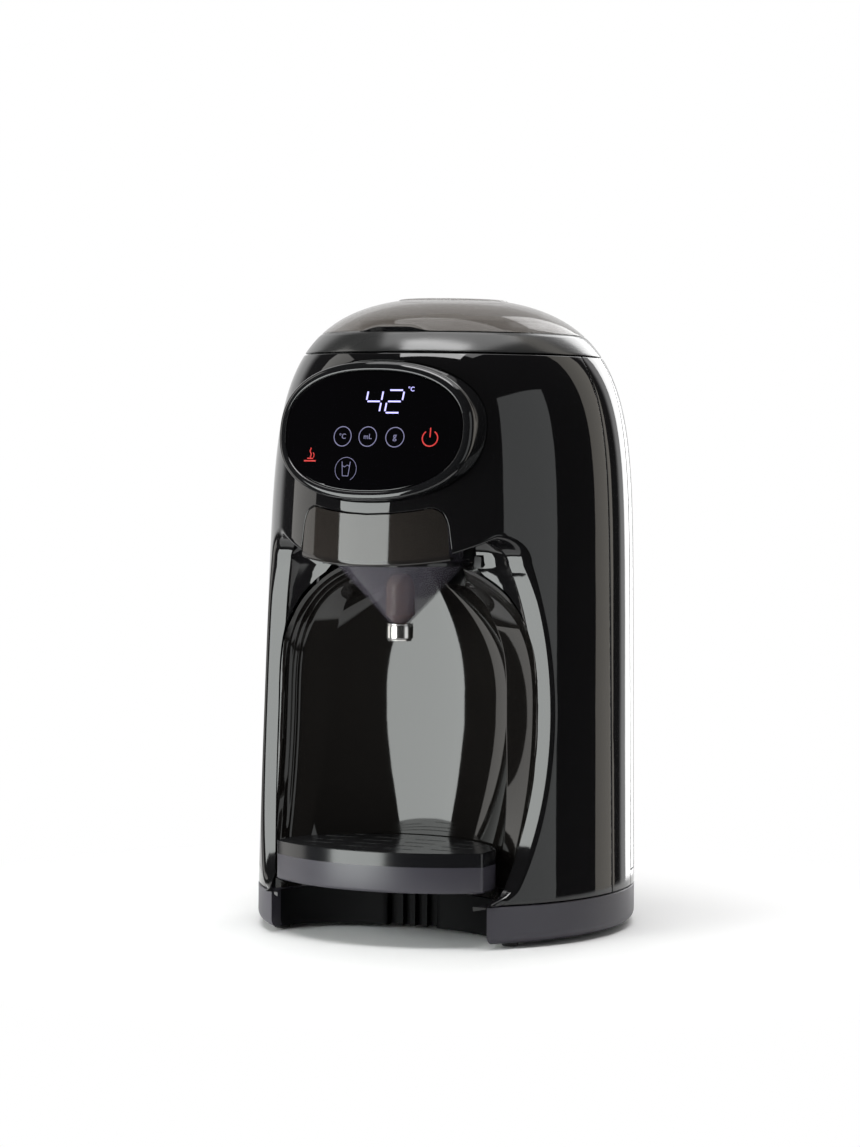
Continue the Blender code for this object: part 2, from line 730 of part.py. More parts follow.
def foot_places():
    """Front feet midway between the notch and the rim, rear feet well apart under the tank."""
    front_y = -BODY_HALF_DEPTH * FOOT_FRONT_DEPTH_SHARE
    edge = BODY_HALF_WIDTH - WALL - BASE_FLOOR_INSET
    rim = edge * math.sqrt(1 - (front_y * BODY_HALF_WIDTH / BODY_HALF_DEPTH / edge) ** 2)
    front_x = (notch_half_width(front_y) + WALL + rim) / 2
    front = [(side * front_x, front_y) for side in (-1, 1)]
    rear_x = BODY_HALF_WIDTH * FOOT_REAR_WIDTH_SHARE
    rear = [(side * rear_x, BODY_HALF_DEPTH * FOOT_REAR_DEPTH_SHARE) for side in (-1, 1)]
    return front + rear


def base_hollow_profile():
    """Inside of the base: wide under the deck, drawn in where the cover closes it."""
    deck_z = BASE_TOP - SEAM / 2 - WALL
    wide = BODY_HALF_WIDTH - WALL
    narrow = wide - BASE_FLOOR_INSET
    step_z = FOOT_HEIGHT + COVER_THICKNESS
    return [(0.0, deck_z), (wide, deck_z), (wide, step_z + BASE_FLOOR_INSET), (narrow, step_z),
            (narrow, -OVERRUN), (0.0, -OVERRUN)]


def make_base_housing(parts, cutters):
    """Skirt, deck and notch walls of the base in one moulding, open below."""
    item = barrel_mesh_to_ellipse(turned("base_housing", base_profile(0.0), parts, BODY_FACETS))
    hollow = barrel_mesh_to_ellipse(turned("base_hollow", base_hollow_profile(), cutters, BODY_FACETS))
    cut(hollow, prism("notch_walls", notch_outline(WALL), -2 * OVERRUN, TOP, "Z", cutters))
    cut(hollow, recess_box("recess_walls", WALL, -2 * OVERRUN, TOP, cutters))
    for index, place in enumerate(screw_places()):
        low = FOOT_HEIGHT + COVER_THICKNESS + GAP
        cut(hollow, rod(f"boss_{index}", BOSS_RADIUS, low, BASE_TOP, cutters, place, TINY_FACETS))
    cut(item, hollow)
    cut(item, prism("notch", notch_outline(0.0), -OVERRUN, TOP, "Z", cutters))
    cut(item, recess_box("recess", 0.0, -OVERRUN, TOP, cutters))
    for index, place in enumerate(screw_places()):
        hole = rod(f"pilot_{index}", SCREW_SHANK_RADIUS + GAP, FOOT_HEIGHT, FOOT_HEIGHT + SCREW_LENGTH + GAP,
                   cutters, place, TINY_FACETS)
        cut(item, hole)
    gland = lay_along(rod("gland_hole", GLAND_RADIUS + GAP, -GLAND_LENGTH, GLAND_LENGTH, cutters,
                          facets=SMALL_FACETS), "Y", gland_centre())
    cut(item, gland)
    return item


def gland_centre():
    y = body_y(BASE_TOP, GLAND_X, front=False) + GLAND_PROUD - GLAND_LENGTH / 2
    return (GLAND_X, y, FOOT_HEIGHT + GLAND_RISE)


def make_cord_gland(parts):
    """Bush in the rear wall of the base that a mains cord would pass through."""
    half = GLAND_LENGTH / 2
    lip = -half + GLAND_FLANGE_THICKNESS
    loop = [(GLAND_RADIUS, half), (GLAND_RADIUS, lip), (GLAND_FLANGE_RADIUS, lip), (GLAND_FLANGE_RADIUS, -half),
            (GLAND_BORE_RADIUS, -half), (GLAND_BORE_RADIUS, half)]
    return lay_along(turned("cord_gland", loop, parts, SMALL_FACETS, closed=True), "Y", gland_centre())


def make_base_cover(parts, cutters):
    """Plate that closes the base from below, held by four countersunk screws."""
    inset = WALL + BASE_FLOOR_INSET + GAP
    item = barrel("base_cover", FOOT_HEIGHT, FOOT_HEIGHT + COVER_THICKNESS, inset, parts, 1)
    cut(item, prism("cover_notch", notch_outline(WALL + GAP), -OVERRUN, TOP, "Z", cutters))
    cut(item, recess_box("cover_recess", WALL + GAP, -OVERRUN, TOP, cutters))
    for index, place in enumerate(screw_places()):
        head = [(0.0, FOOT_HEIGHT + COVER_THICKNESS + OVERRUN),
                (SCREW_SHANK_RADIUS + GAP, FOOT_HEIGHT + COVER_THICKNESS + OVERRUN),
                (SCREW_SHANK_RADIUS + GAP, FOOT_HEIGHT + SCREW_HEAD_HEIGHT + GAP),
                (SCREW_HEAD_RADIUS + 2 * GAP, FOOT_HEIGHT), (SCREW_HEAD_RADIUS + 2 * GAP, 0.0), (0.0, 0.0)]
        cut(item, turned(f"countersink_{index}", head, cutters, TINY_FACETS, centre=place))
    for index, place in enumerate(foot_places()):
        hole = rod(f"foot_hole_{index}", FOOT_STEM_RADIUS + GAP, 0.0, BASE_TOP, cutters, place, TINY_FACETS)
        cut(item, hole)
    return item


def make_feet_and_screws(parts):
    names = ("front_left", "front_right", "rear_left", "rear_right")
    pad_top = FOOT_HEIGHT - GAP
    feet = []
    screws = []
    for name, place in zip(names, foot_places()):
        profile = [(0.0, FOOT_STEM_HEIGHT + pad_top), (FOOT_STEM_RADIUS, FOOT_STEM_HEIGHT + pad_top),
                   (FOOT_STEM_RADIUS, pad_top), (FOOT_RADIUS, pad_top), (FOOT_RADIUS, 0.0), (0.0, 0.0)]
        feet.append(turned("foot_" + name, profile, parts, TINY_FACETS, centre=place))
    for name, place in zip(names, screw_places()):
        tip_z = FOOT_HEIGHT + SCREW_LENGTH
        profile = [(0.0, tip_z), (SCREW_SHANK_RADIUS, tip_z),
                   (SCREW_SHANK_RADIUS, FOOT_HEIGHT + SCREW_HEAD_HEIGHT), (SCREW_HEAD_RADIUS, FOOT_HEIGHT),
                   (0.0, FOOT_HEIGHT)]
        screws.append(turned("base_screw_" + name, profile, parts, TINY_FACETS, centre=place))
    return feet, screws


def drawer_window(name, grown, low, high_y, group):
    """Front view of the drawer's opening, a trapezium that narrows upwards."""
    low_half = PLATE_LOW_HALF_WIDTH + grown
    high_half = PLATE_HIGH_HALF_WIDTH + grown
    top = DRAWER_TOP + grown
    outline = [(low_half, low), (low_half, BAY_TOP), (high_half, top), (-high_half, top),
               (-low_half, BAY_TOP), (-low_half, low)]
    return prism(name, outline, -BODY_HALF_DEPTH * 2, high_y, "Y", group)


def pod_outline(grown):
    """Superellipse of the display pod in the front view, as (x, z) points."""
    power = 2 / POD_POWER
    points = []
    for i in range(POD_FACETS):
        angle = 2 * math.pi * i / POD_FACETS
        c, s = math.cos(angle), math.sin(angle)
        x = (DISPLAY_HALF_WIDTH + grown) * math.copysign(abs(c) ** power, c)
        z = DISPLAY_Z + (DISPLAY_HALF_HEIGHT + grown) * math.copysign(abs(s) ** power, s)
        points.append((x, z))
    return points


def make_front_shell(parts, cutters):
    """Front casing: one skin with the bay, the drawer window and the display opening cut out."""
    low = BASE_TOP + SEAM / 2
    high = COLLAR_BOTTOM - SEAM / 2
    item = barrel("front_shell", low, high, 0.0, parts)
    hollow = barrel("front_hollow", low - OVERRUN, high + OVERRUN, WALL, cutters, 5)
    cut(hollow, bay_side_cutter("bay_side_walls", WALL, cutters))
    cut(item, hollow)
    cut(item, rear_space("behind_seam", SHELL_SEAM_Y - SEAM / 2, cutters))
    cut(item, bay_side_cutter("bay_side", 0.0, cutters))
    front_view = bay_outline(BAND_WIDTH, WALL, BASE_TOP - OVERRUN)
    cut(item, prism("bay_front", front_view, -BODY_HALF_DEPTH * 2, 0.0, "Y", cutters))
    cut(item, drawer_window("drawer_window", GAP, BASE_TOP, 0.0, cutters))
    pod_hole = pod_outline(POD_RIM + GAP)
    cut(item, prism("pod_window", pod_hole, -BODY_HALF_DEPTH * 2, FUNNEL_Y / 2, "Y", cutters))
    return item


def make_rear_shell(parts, cutters):
    """Rear casing: two side strips, the floor under the tank and the wall in front of the tank."""
    low = BASE_TOP + SEAM / 2
    high = COLLAR_BOTTOM - SEAM / 2
    item = barrel("rear_shell", low, high, 0.0, parts)
    cut(item, front_space("before_seam", SHELL_SEAM_Y + SEAM / 2, cutters))
    wing = WALL + NICHE_GAP
    near = barrel("strip_hollow", low - OVERRUN, high + OVERRUN, WALL, cutters, 5)
    cut(near, rear_space("strip_hollow_end", TANK_WRAP_Y - wing, cutters))
    deep = barrel("niche_hollow", low - OVERRUN, high + OVERRUN, wing + WALL, cutters, 5)
    cut(deep, rear_space("niche_hollow_end", NICHE_Y, cutters))
    under = barrel("under_tank_hollow", low - OVERRUN, TANK_Z - GAP - WALL, WALL, cutters, 1)
    tank_room = rear_space("tank_room", TANK_WRAP_Y - SEAM / 2, cutters, TANK_Z - GAP)
    niche = barrel("niche_block", low, high + OVERRUN * 2, wing, cutters)
    cut(niche, rear_space("niche_block_end", NICHE_Y + WALL, cutters))
    cut(tank_room, niche)
    cut(item, near, deep, under, tank_room)
    spigot_hole = rod("spigot_hole", SPIGOT_RADIUS + GAP, -WALL * 2, WALL * 2, cutters, facets=SMALL_FACETS)
    cut(item, lay_along(spigot_hole, "Y", (0.0, NICHE_Y, PORT_Z)))
    return item


def make_collar(parts, cutters):
    """Ring between the shells and the lid, with a deck that carries the hopper and the hinge lugs."""
    low = COLLAR_BOTTOM + SEAM / 2
    high = LID_BOTTOM - SEAM / 2
    item = barrel("collar", low, high, 0.0, parts, 2)
    cut(item, barrel("collar_hollow", low + WALL, high + OVERRUN / 5, WALL, cutters, 2))
    cut(item, rod("hopper_hole", HOPPER_RADIUS + 2 * GAP, low - OVERRUN, TOP, cutters, (0.0, HOPPER_Y),
                  HOPPER_FACETS))
    inner_x = HINGE_EAR_HALF_WIDTH + GAP
    outer_x = inner_x + HINGE_LUG_WIDTH
    foot_y = HINGE_Y - HINGE_SETBACK - WALL / 2
    lug_view = [(foot_y, high - SEAM / 2), (foot_y, low + WALL / 2)]
    lug_view += hinge_view(low + WALL / 2, HINGE_Y - HINGE_KNUCKLE_RADIUS)[1:]
    lug_view += [(HINGE_Y - HINGE_KNUCKLE_RADIUS, high - SEAM / 2)]
    for name, start_x, end_x in (("left", -outer_x, -inner_x), ("right", inner_x, outer_x)):
        join(item, prism("lug_" + name, lug_view, start_x, end_x, "X", cutters))
    cut(item, hinge_bore("collar_pin_bore", cutters))
    return item


def hinge_view(low, front_y):
    """Side view of a hinge knuckle that rises from a height and runs forward to a depth."""
    round_end = arc_points((HINGE_Y, HINGE_Z), HINGE_KNUCKLE_RADIUS, 0, 90, 4)
    return [(front_y, low), (HINGE_Y + HINGE_KNUCKLE_RADIUS, low)] + round_end + [(front_y, round_end[-1][1])]


def hinge_bore(name, group):
    reach = HINGE_EAR_HALF_WIDTH + HINGE_LUG_WIDTH + OVERRUN
    bore = rod(name, HINGE_PIN_RADIUS + GAP, -reach, reach, group, facets=SMALL_FACETS)
    return lay_along(bore, "X", (0.0, HINGE_Y, HINGE_Z))


def make_hinge_pin(parts):
    reach = HINGE_EAR_HALF_WIDTH + GAP + HINGE_LUG_WIDTH
    pin = rod("lid_hinge_pin", HINGE_PIN_RADIUS, -reach, reach, parts, facets=SMALL_FACETS)
    return lay_along(pin, "X", (0.0, HINGE_Y, HINGE_Z))


def lid_profile():
    """Dome with a thin raised plateau, outside from the rim up and inside back down."""
    rim = LID_BOTTOM + SEAM / 2
    step_z = TOP - LID_PLATEAU
    outside = [(body_half_width(z), z) for z in spread_heights(rim, step_z, 5)]
    plateau = outside[-1][0] - LID_PLATEAU
    top = [(plateau, step_z), (plateau, TOP), (0.0, TOP)]
    inside = [(0.0, step_z - LID_WALL)]
    for radius, z in reversed(outside[1::2]):
        inside.append((radius - LID_WALL, z - LID_WALL))
    inside.append((outside[0][0] - LID_WALL, rim))
    return list(reversed(outside + top)) , inside


def make_lid(parts, cutters):
    """Smoked dome with a thumb notch at its front edge and a hinge ear at its rear."""
    outside, inside = lid_profile()
    profile = outside + list(reversed(inside))
    item = barrel_mesh_to_ellipse(turned("lid", profile, parts, BODY_FACETS))
    rim = LID_BOTTOM + SEAM / 2
    ear_view = hinge_view(rim, HINGE_Y - HINGE_SETBACK - LID_WALL)
    join(item, prism("hinge_ear", ear_view, -HINGE_EAR_HALF_WIDTH, HINGE_EAR_HALF_WIDTH, "X", cutters))
    cut(item, hinge_bore("lid_pin_bore", cutters))
    half = THUMB_NOTCH_HALF_WIDTH
    outline = [(half, rim - OVERRUN), (half, rim), (half / 2, rim + THUMB_NOTCH_HEIGHT),
               (-half / 2, rim + THUMB_NOTCH_HEIGHT), (-half, rim), (-half, rim - OVERRUN)]
    cut(item, prism("thumb_notch", outline, -BODY_HALF_DEPTH, 0.0, "Y", cutters))
    return set_origin(item, (0.0, HINGE_Y, HINGE_Z))


def make_bay_liner(parts, cutters):
    """Bay lining: front band, side walls, ceiling, floor and the concave rear wall."""
    low = BASE_TOP + SEAM / 2
    item = bay_solid("bay_liner", WALL, WALL - 2 * GAP, low, parts)
    band_view = bay_outline(BAND_WIDTH - GAP, WALL - GAP, low + GAP)
    band = prism("liner_band", band_view, -BODY_HALF_DEPTH - BODY_HALF_WIDTH, BAY_REAR_Y, "Y", cutters)
    join(item, keep(band, bay_side_cutter("band_rear", WALL, cutters)))
    cut(item, bay_side_cutter("liner_front", 0.0, cutters))
    cut(item, front_space("liner_front_plane", leg_face_y(BAY_TOP + BAND_WIDTH) - WALL, cutters))
    cut(item, bay_solid("bay_space", 0.0, 0.0, TRAY_Z - GAP, cutters))
    cut(item, prism("liner_notch", notch_outline(GAP), -OVERRUN, TRAY_Z, "Z", cutters))
    cut(item, recess_box("liner_recess", 0.0, -OVERRUN, TRAY_Z, cutters))
    tunnel = PLATE_LOW_HALF_WIDTH + GAP
    cut(item, box("drawer_tunnel", (-tunnel, -BODY_HALF_DEPTH, CARRIER_Z - GAP), (tunnel, 0.0, TOP), cutters))
    slot = FUNNEL_RADIUS + FUNNEL_TO_WALL / 2
    outline = arc_points((0.0, FUNNEL_Y), slot, 0, 180, 15) + [(-slot, -BODY_HALF_DEPTH), (slot, -BODY_HALF_DEPTH)]
    cut(item, prism("funnel_slot", outline, BAY_TOP - FUNNEL_CONE_HEIGHT, TOP, "Z", cutters))
    return item


def lay_on_face(item, bow=True):
    """Tilt a flat upright piece to the display's slope and bow it across."""
    for vertex in item.data.vertices:
        tilt = DISPLAY_TILT_SHARE * (vertex.co.z - DISPLAY_Z)
        curve = vertex.co.x ** 2 / (2 * DISPLAY_BOW_RADIUS) if bow else 0.0
        vertex.co.y += DISPLAY_Y + tilt + curve
    return item


def bowed_slab(name, grown, front, back, group):
    """A slab with the pod's outline, divided into upright strips and then bowed across."""
    item = prism(name, pod_outline(grown), front, back, "Y", group)
    work = bmesh.new()
    work.from_mesh(item.data)
    for x in sorted({round(x, 6) for x, z in pod_outline(grown)})[1:-1]:
        shape = work.verts[:] + work.edges[:] + work.faces[:]
        bmesh.ops.bisect_plane(work, geom=shape, dist=MERGE, plane_co=(x, 0.0, 0.0), plane_no=(1.0, 0.0, 0.0))
    work.to_mesh(item.data)
    work.free()
    return lay_on_face(item)


def make_display(parts, cutters):
    """Raised pod ring, bowed touch glass, and behind it the board with its digit module."""
    side_x = DISPLAY_HALF_WIDTH + POD_RIM
    depth = body_y(DISPLAY_Z, side_x) - DISPLAY_Y + WALL
    ring = bowed_slab("display_ring", POD_RIM, 0.0, depth, parts)
    seat = bowed_slab("glass_seat", GAP, -OVERRUN, POD_SEAT, cutters)
    hollow = prism("pod_hollow", pod_outline(-POD_RIM_THICKNESS), -OVERRUN, depth + OVERRUN * 2, "Y", cutters)
    lay_on_face(hollow, bow=False)
    cut(ring, seat, hollow)
    glass = bowed_slab("display_glass", 0.0, POD_SEAT - GAP - GLASS_THICKNESS, POD_SEAT - GAP, parts)
    digit_y = POD_SEAT + GAP + (DIGIT_X + DIGIT_HALF_WIDTH) ** 2 / (2 * DISPLAY_BOW_RADIUS)
    board_y = digit_y + DIGIT_THICKNESS + GAP
    board = box("display_board", (-BOARD_HALF_WIDTH, board_y, DISPLAY_Z - BOARD_HALF_HEIGHT),
                (BOARD_HALF_WIDTH, board_y + BOARD_THICKNESS, DISPLAY_Z + BOARD_HALF_HEIGHT), parts)
    lay_on_face(board, bow=False)
    middle_z = DISPLAY_Z + DIGIT_RISE
    digits = box("digit_module", (DIGIT_X - DIGIT_HALF_WIDTH, digit_y, middle_z - DIGIT_HALF_HEIGHT),
                 (DIGIT_X + DIGIT_HALF_WIDTH, board_y - GAP, middle_z + DIGIT_HALF_HEIGHT), parts)
    lay_on_face(digits, bow=False)
    return ring, glass, board, digits


def make_funnel_drawer(parts, cutters):
    """Smoked drawer front with the ring that carries the funnel, in one moulding."""
    low = BAY_TOP + ROOF_LIP_RISE / 2
    item = barrel("funnel_drawer", low, DRAWER_TOP + OVERRUN, 0.0, parts, 3)
    cut(item, barrel("drawer_hollow", low - OVERRUN, DRAWER_TOP + OVERRUN * 2, WALL, cutters, 3))
    window = drawer_window("drawer_outline", -GAP, BASE_TOP, FUNNEL_Y, cutters)
    keep(item, window)
    cut(item, bay_side_cutter("drawer_lip", 0.0, cutters))
    half = CARRIER_RADIUS / 2
    front_y = body_y(CARRIER_Z, half) + WALL / 2
    outline = arc_points((0.0, FUNNEL_Y), CARRIER_RADIUS, -60, 240, 20) + [(-half, front_y), (half, front_y)]
    join(item, prism("carrier_ring", outline, CARRIER_Z, CARRIER_Z + CARRIER_THICKNESS, "Z", cutters))
    bridge_low = CARRIER_Z + CARRIER_THICKNESS / 2
    bridge_rear = FUNNEL_Y - FUNNEL_RADIUS - FUNNEL_FLANGE - GAP
    join(item, box("plate_bridge", (-half / 2, body_y(CARRIER_Z) + WALL / 2, bridge_low),
                   (half / 2, bridge_rear, bridge_low + CARRIER_THICKNESS * 3), cutters))
    cut(item, rod("funnel_hole", FUNNEL_RADIUS + GAP, CARRIER_Z - OVERRUN, TOP, cutters, (0.0, FUNNEL_Y)))
    return item


def make_funnel(parts):
    """Clear cone with an upright rim, a flange that rests on the carrier, and a straight neck."""
    neck = FUNNEL_NECK_RADIUS
    neck_low = FUNNEL_LOW_Z - FUNNEL_NECK_HEIGHT
    cone_top = FUNNEL_SEAT_Z - CARRIER_THICKNESS
    outside = [(FUNNEL_RADIUS, FUNNEL_TOP_Z), (FUNNEL_RADIUS, FUNNEL_SEAT_Z + FUNNEL_WALL),
               (FUNNEL_RADIUS + FUNNEL_FLANGE, FUNNEL_SEAT_Z + FUNNEL_WALL),
               (FUNNEL_RADIUS + FUNNEL_FLANGE, FUNNEL_SEAT_Z), (FUNNEL_RADIUS, FUNNEL_SEAT_Z),
               (FUNNEL_RADIUS, cone_top), (neck, FUNNEL_LOW_Z), (neck, neck_low)]
    inside = [(neck - FUNNEL_WALL, neck_low), (neck - FUNNEL_WALL, FUNNEL_LOW_Z),
              (FUNNEL_RADIUS - FUNNEL_WALL, cone_top), (FUNNEL_RADIUS - FUNNEL_WALL, FUNNEL_TOP_Z)]
    return turned("mixing_funnel", outside + inside, parts, ROUND_FACETS, closed=True, centre=(0.0, FUNNEL_Y))


def make_insert_and_nozzle(parts):
    """Bullet-shaped mixing insert that stands in the cone, and the steel sleeve on the neck."""
    slope = FUNNEL_CONE_HEIGHT / (FUNNEL_RADIUS - FUNNEL_NECK_RADIUS)
    seat_radius = FUNNEL_NECK_RADIUS - FUNNEL_WALL - GAP
    shoulder = FUNNEL_LOW_Z + (INSERT_RADIUS - seat_radius) * slope
    top = FUNNEL_LOW_Z + INSERT_HEIGHT
    bore = INSERT_BORE
    nose = arc_points((bore, top - INSERT_RADIUS), INSERT_RADIUS - bore, 90, 0, 4)
    loop = nose + [(INSERT_RADIUS, shoulder), (seat_radius, FUNNEL_LOW_Z),
                   (seat_radius, FUNNEL_LOW_Z - FUNNEL_NECK_HEIGHT / 2), (bore, FUNNEL_LOW_Z - FUNNEL_NECK_HEIGHT / 2)]
    insert = turned("mixing_insert", loop, parts, SMALL_FACETS, closed=True, centre=(0.0, FUNNEL_Y))
    bore_radius = FUNNEL_NECK_RADIUS + GAP
    high = FUNNEL_LOW_Z - GAP
    nozzle = pipe("outlet_nozzle", bore_radius + NOZZLE_WALL, bore_radius, high - NOZZLE_HEIGHT, high, parts,
                  (0.0, FUNNEL_Y))
    return insert, nozzle


def make_drawer_rails(parts):
    """Two rails on the bay ceiling that guide the carrier's sides."""
    rails = []
    for side, name in ((-1, "left"), (1, "right")):
        inner = PLATE_LOW_HALF_WIDTH + GAP * 2
        outer = inner + RAIL_WIDTH
        low_z = BAY_TOP + WALL + GAP
        low = (min(side * inner, side * outer), leg_face_y(low_z) + WALL + GAP, low_z)
        high = (max(side * inner, side * outer), BAY_REAR_Y - WALL, low_z + RAIL_HEIGHT)
        rails.append(box("drawer_rail_" + name, low, high, parts))
    return rails


def tray_outline(inset):
    """Plan of the tray: the barrel's front arc, straight sides and the bay's rear arc."""
    half = TRAY_HALF_WIDTH - inset
    reach_x = BODY_HALF_WIDTH - inset
    reach_y = BODY_HALF_DEPTH - TRAY_FRONT_SETBACK - inset
    steps = 15
    front = []
    for i in range(steps + 1):
        x = -half + 2 * half * i / steps
        front.append((x, -reach_y * math.sqrt(1 - (x / reach_x) ** 2)))
    bowl_half, middle_y, depth = bay_bowl(TRAY_Z, -TRAY_REAR_CLEARANCE - inset, -TRAY_REAR_CLEARANCE - inset)
    limit = math.acos(min(1.0, half / bowl_half))
    rear = []
    for i in range(steps + 1):
        angle = limit + (math.pi - 2 * limit) * i / steps
        rear.append((bowl_half * math.cos(angle), middle_y + depth * math.sin(angle)))
    return front + rear


def make_tray(parts, cutters):
    """Deep drip tray with a tongue at its rear that hooks into the bracket."""
    item = prism("drip_tray", tray_outline(0.0), TRAY_Z, TRAY_TOP_Z, "Z", parts)
    grille_z = TRAY_TOP_Z - GRILLE_THICKNESS
    cut(item, prism("tray_well", tray_outline(TRAY_WALL), TRAY_Z + TRAY_WALL, TOP, "Z", cutters))
    cut(item, prism("grille_ledge", tray_outline(GRILLE_RIM), grille_z - GAP, TOP, "Z", cutters))
    tongue_rear = NOTCH_REAR_Y + TONGUE_LENGTH
    tongue = box("tongue_block", (-TONGUE_HALF_WIDTH, NOTCH_REAR_Y - TONGUE_LENGTH / 2, TRAY_Z - TONGUE_HEIGHT),
                 (TONGUE_HALF_WIDTH, tongue_rear, TRAY_Z + TRAY_WALL / 2), cutters)
    join(item, tongue)
    grille = prism("drip_grille", tray_outline(GRILLE_RIM + GAP), grille_z, TRAY_TOP_Z, "Z", parts)
    span_y = SLOT_ROW_PITCH * (SLOT_ROWS - 1)
    middle_y = (-BODY_HALF_DEPTH + BAY_REAR_Y) / 2
    for row in range(SLOT_ROWS):
        for column in range(SLOT_COLUMNS):
            x = (column - (SLOT_COLUMNS - 1) / 2) * SLOT_COLUMN_PITCH
            y = middle_y - span_y / 2 + row * SLOT_ROW_PITCH + x * x / (2 * BODY_HALF_DEPTH)
            slot = box(f"slot_{row}_{column}", (x - SLOT_LENGTH / 2, y - SLOT_WIDTH / 2, grille_z - OVERRUN),
                       (x + SLOT_LENGTH / 2, y + SLOT_WIDTH / 2, TOP), cutters)
            cut(grille, slot)
    return item, grille


def make_tray_bracket(parts, cutters):
    """Ribbed block in the recess that the tray's tongue hooks into."""
    half = RECESS_HALF_WIDTH - GAP
    rear_y = NOTCH_REAR_Y + RECESS_DEPTH - GAP
    front_y = NOTCH_REAR_Y + BRACKET_RIB_DEPTH
    low = FOOT_HEIGHT + GAP
    item = box("tray_bracket", (-half, front_y, low), (half, rear_y, low + BRACKET_HEIGHT), parts)
    pitch = 2 * half / (BRACKET_RIBS + 1)
    for index in range(BRACKET_RIBS):
        x = -half + pitch * (index + 1)
        rib = box(f"bracket_rib_{index}", (x - BRACKET_RIB_WIDTH / 2, front_y - BRACKET_RIB_DEPTH, low),
                  (x + BRACKET_RIB_WIDTH / 2, front_y + WALL, low + BRACKET_HEIGHT - TONGUE_HEIGHT), cutters)
        join(item, rib)
    channel_low = TRAY_Z - TONGUE_HEIGHT - GAP
    channel = box("tongue_channel", (-TONGUE_HALF_WIDTH - GAP, front_y - OVERRUN * 2, channel_low),
                  (TONGUE_HALF_WIDTH + GAP, NOTCH_REAR_Y + TONGUE_LENGTH + GAP, TOP), cutters)
    cut(item, channel)
    return item


def gear_outline(teeth, module, backlash, phase):
    """Straight-sided teeth about the origin, as (x, y) points."""
    pitch = module * teeth / 2
    tip = pitch + TOOTH_TIP_SHARE * module
    root = pitch - TOOTH_ROOT_SHARE * module
    points = []
    half_pitch_tooth = math.pi / teeth / 2 - backlash / pitch / 2
    slope = TOOTH_FLANK_SHARE * module / pitch
    for tooth in range(teeth):
        centre = phase + 2 * math.pi * tooth / teeth
        marks = ((root, -half_pitch_tooth - slope), (tip, -half_pitch_tooth + slope),
                 (tip, half_pitch_tooth - slope), (root, half_pitch_tooth + slope))
        for radius, angle in marks:
            points.append((radius * math.cos(centre + angle), radius * math.sin(centre + angle)))
    return points


def make_dosing_drive(parts, cutters):
    """Toothed dosing wheel with powder pockets, its shaft and stirrer, and the motor pinion."""
    outline = gear_outline(WHEEL_TEETH, WHEEL_MODULE, TOOTH_BACKLASH, PINION_ANGLE)
    wheel = prism("dosing_wheel", outline, WHEEL_Z, WHEEL_Z + WHEEL_THICKNESS, "Z", parts)
    wheel.location = (0.0, HOPPER_Y, 0.0)
    for index in range(POCKETS):
        angle = 2 * math.pi * index / POCKETS
        place = (POCKET_CIRCLE_RADIUS * math.cos(angle), HOPPER_Y + POCKET_CIRCLE_RADIUS * math.sin(angle))
        cut(wheel, rod(f"pocket_{index}", POCKET_RADIUS, WHEEL_Z - OVERRUN, TOP, cutters, place, TINY_FACETS))
    axis = (0.0, HOPPER_Y)
    cut(wheel, rod("wheel_bore", SHAFT_RADIUS + GAP, WHEEL_Z - OVERRUN, TOP, cutters, axis, SMALL_FACETS))
    hub_z = HOPPER_Z + HOPPER_WALL + WHEEL_RUNNING_GAP
    shaft = rod("drive_shaft", SHAFT_RADIUS, DOSING_BASE_Z, hub_z + STIRRER_HUB_HEIGHT - WALL, parts, axis,
                SMALL_FACETS)
    stirrer = rod("stirrer", STIRRER_HUB_RADIUS, hub_z, hub_z + STIRRER_HUB_HEIGHT, parts, axis)
    reach = HOPPER_RADIUS - HOPPER_WALL - STIRRER_ARM_CLEARANCE
    half = STIRRER_BLADE_THICKNESS / 2
    blade_high = hub_z + STIRRER_BLADE_HEIGHT
    blades = (box("blade_across", (-reach, HOPPER_Y - half, hub_z), (reach, HOPPER_Y + half, blade_high), cutters),
              box("blade_along", (-half, HOPPER_Y - reach, hub_z), (half, HOPPER_Y + reach, blade_high), cutters))
    join(stirrer, *blades)
    cut(stirrer, rod("hub_bore", SHAFT_RADIUS + GAP, hub_z - OVERRUN, hub_z + STIRRER_HUB_HEIGHT - WALL + GAP,
                     cutters, axis, SMALL_FACETS))
    phase = PINION_ANGLE + math.pi + math.pi / PINION_TEETH
    pinion = prism("motor_pinion", gear_outline(PINION_TEETH, WHEEL_MODULE, TOOTH_BACKLASH, phase), WHEEL_Z,
                   WHEEL_Z + WHEEL_THICKNESS, "Z", parts)
    pinion.location = (PINION_X, PINION_Y, 0.0)
    join(pinion, rod("pinion_shaft", SHAFT_RADIUS / 2, DOSING_BASE_Z - MOTOR_BEARING_DEPTH,
                     WHEEL_Z + WHEEL_THICKNESS / 2, cutters, (PINION_X, PINION_Y), TINY_FACETS))
    return wheel, shaft, stirrer, pinion


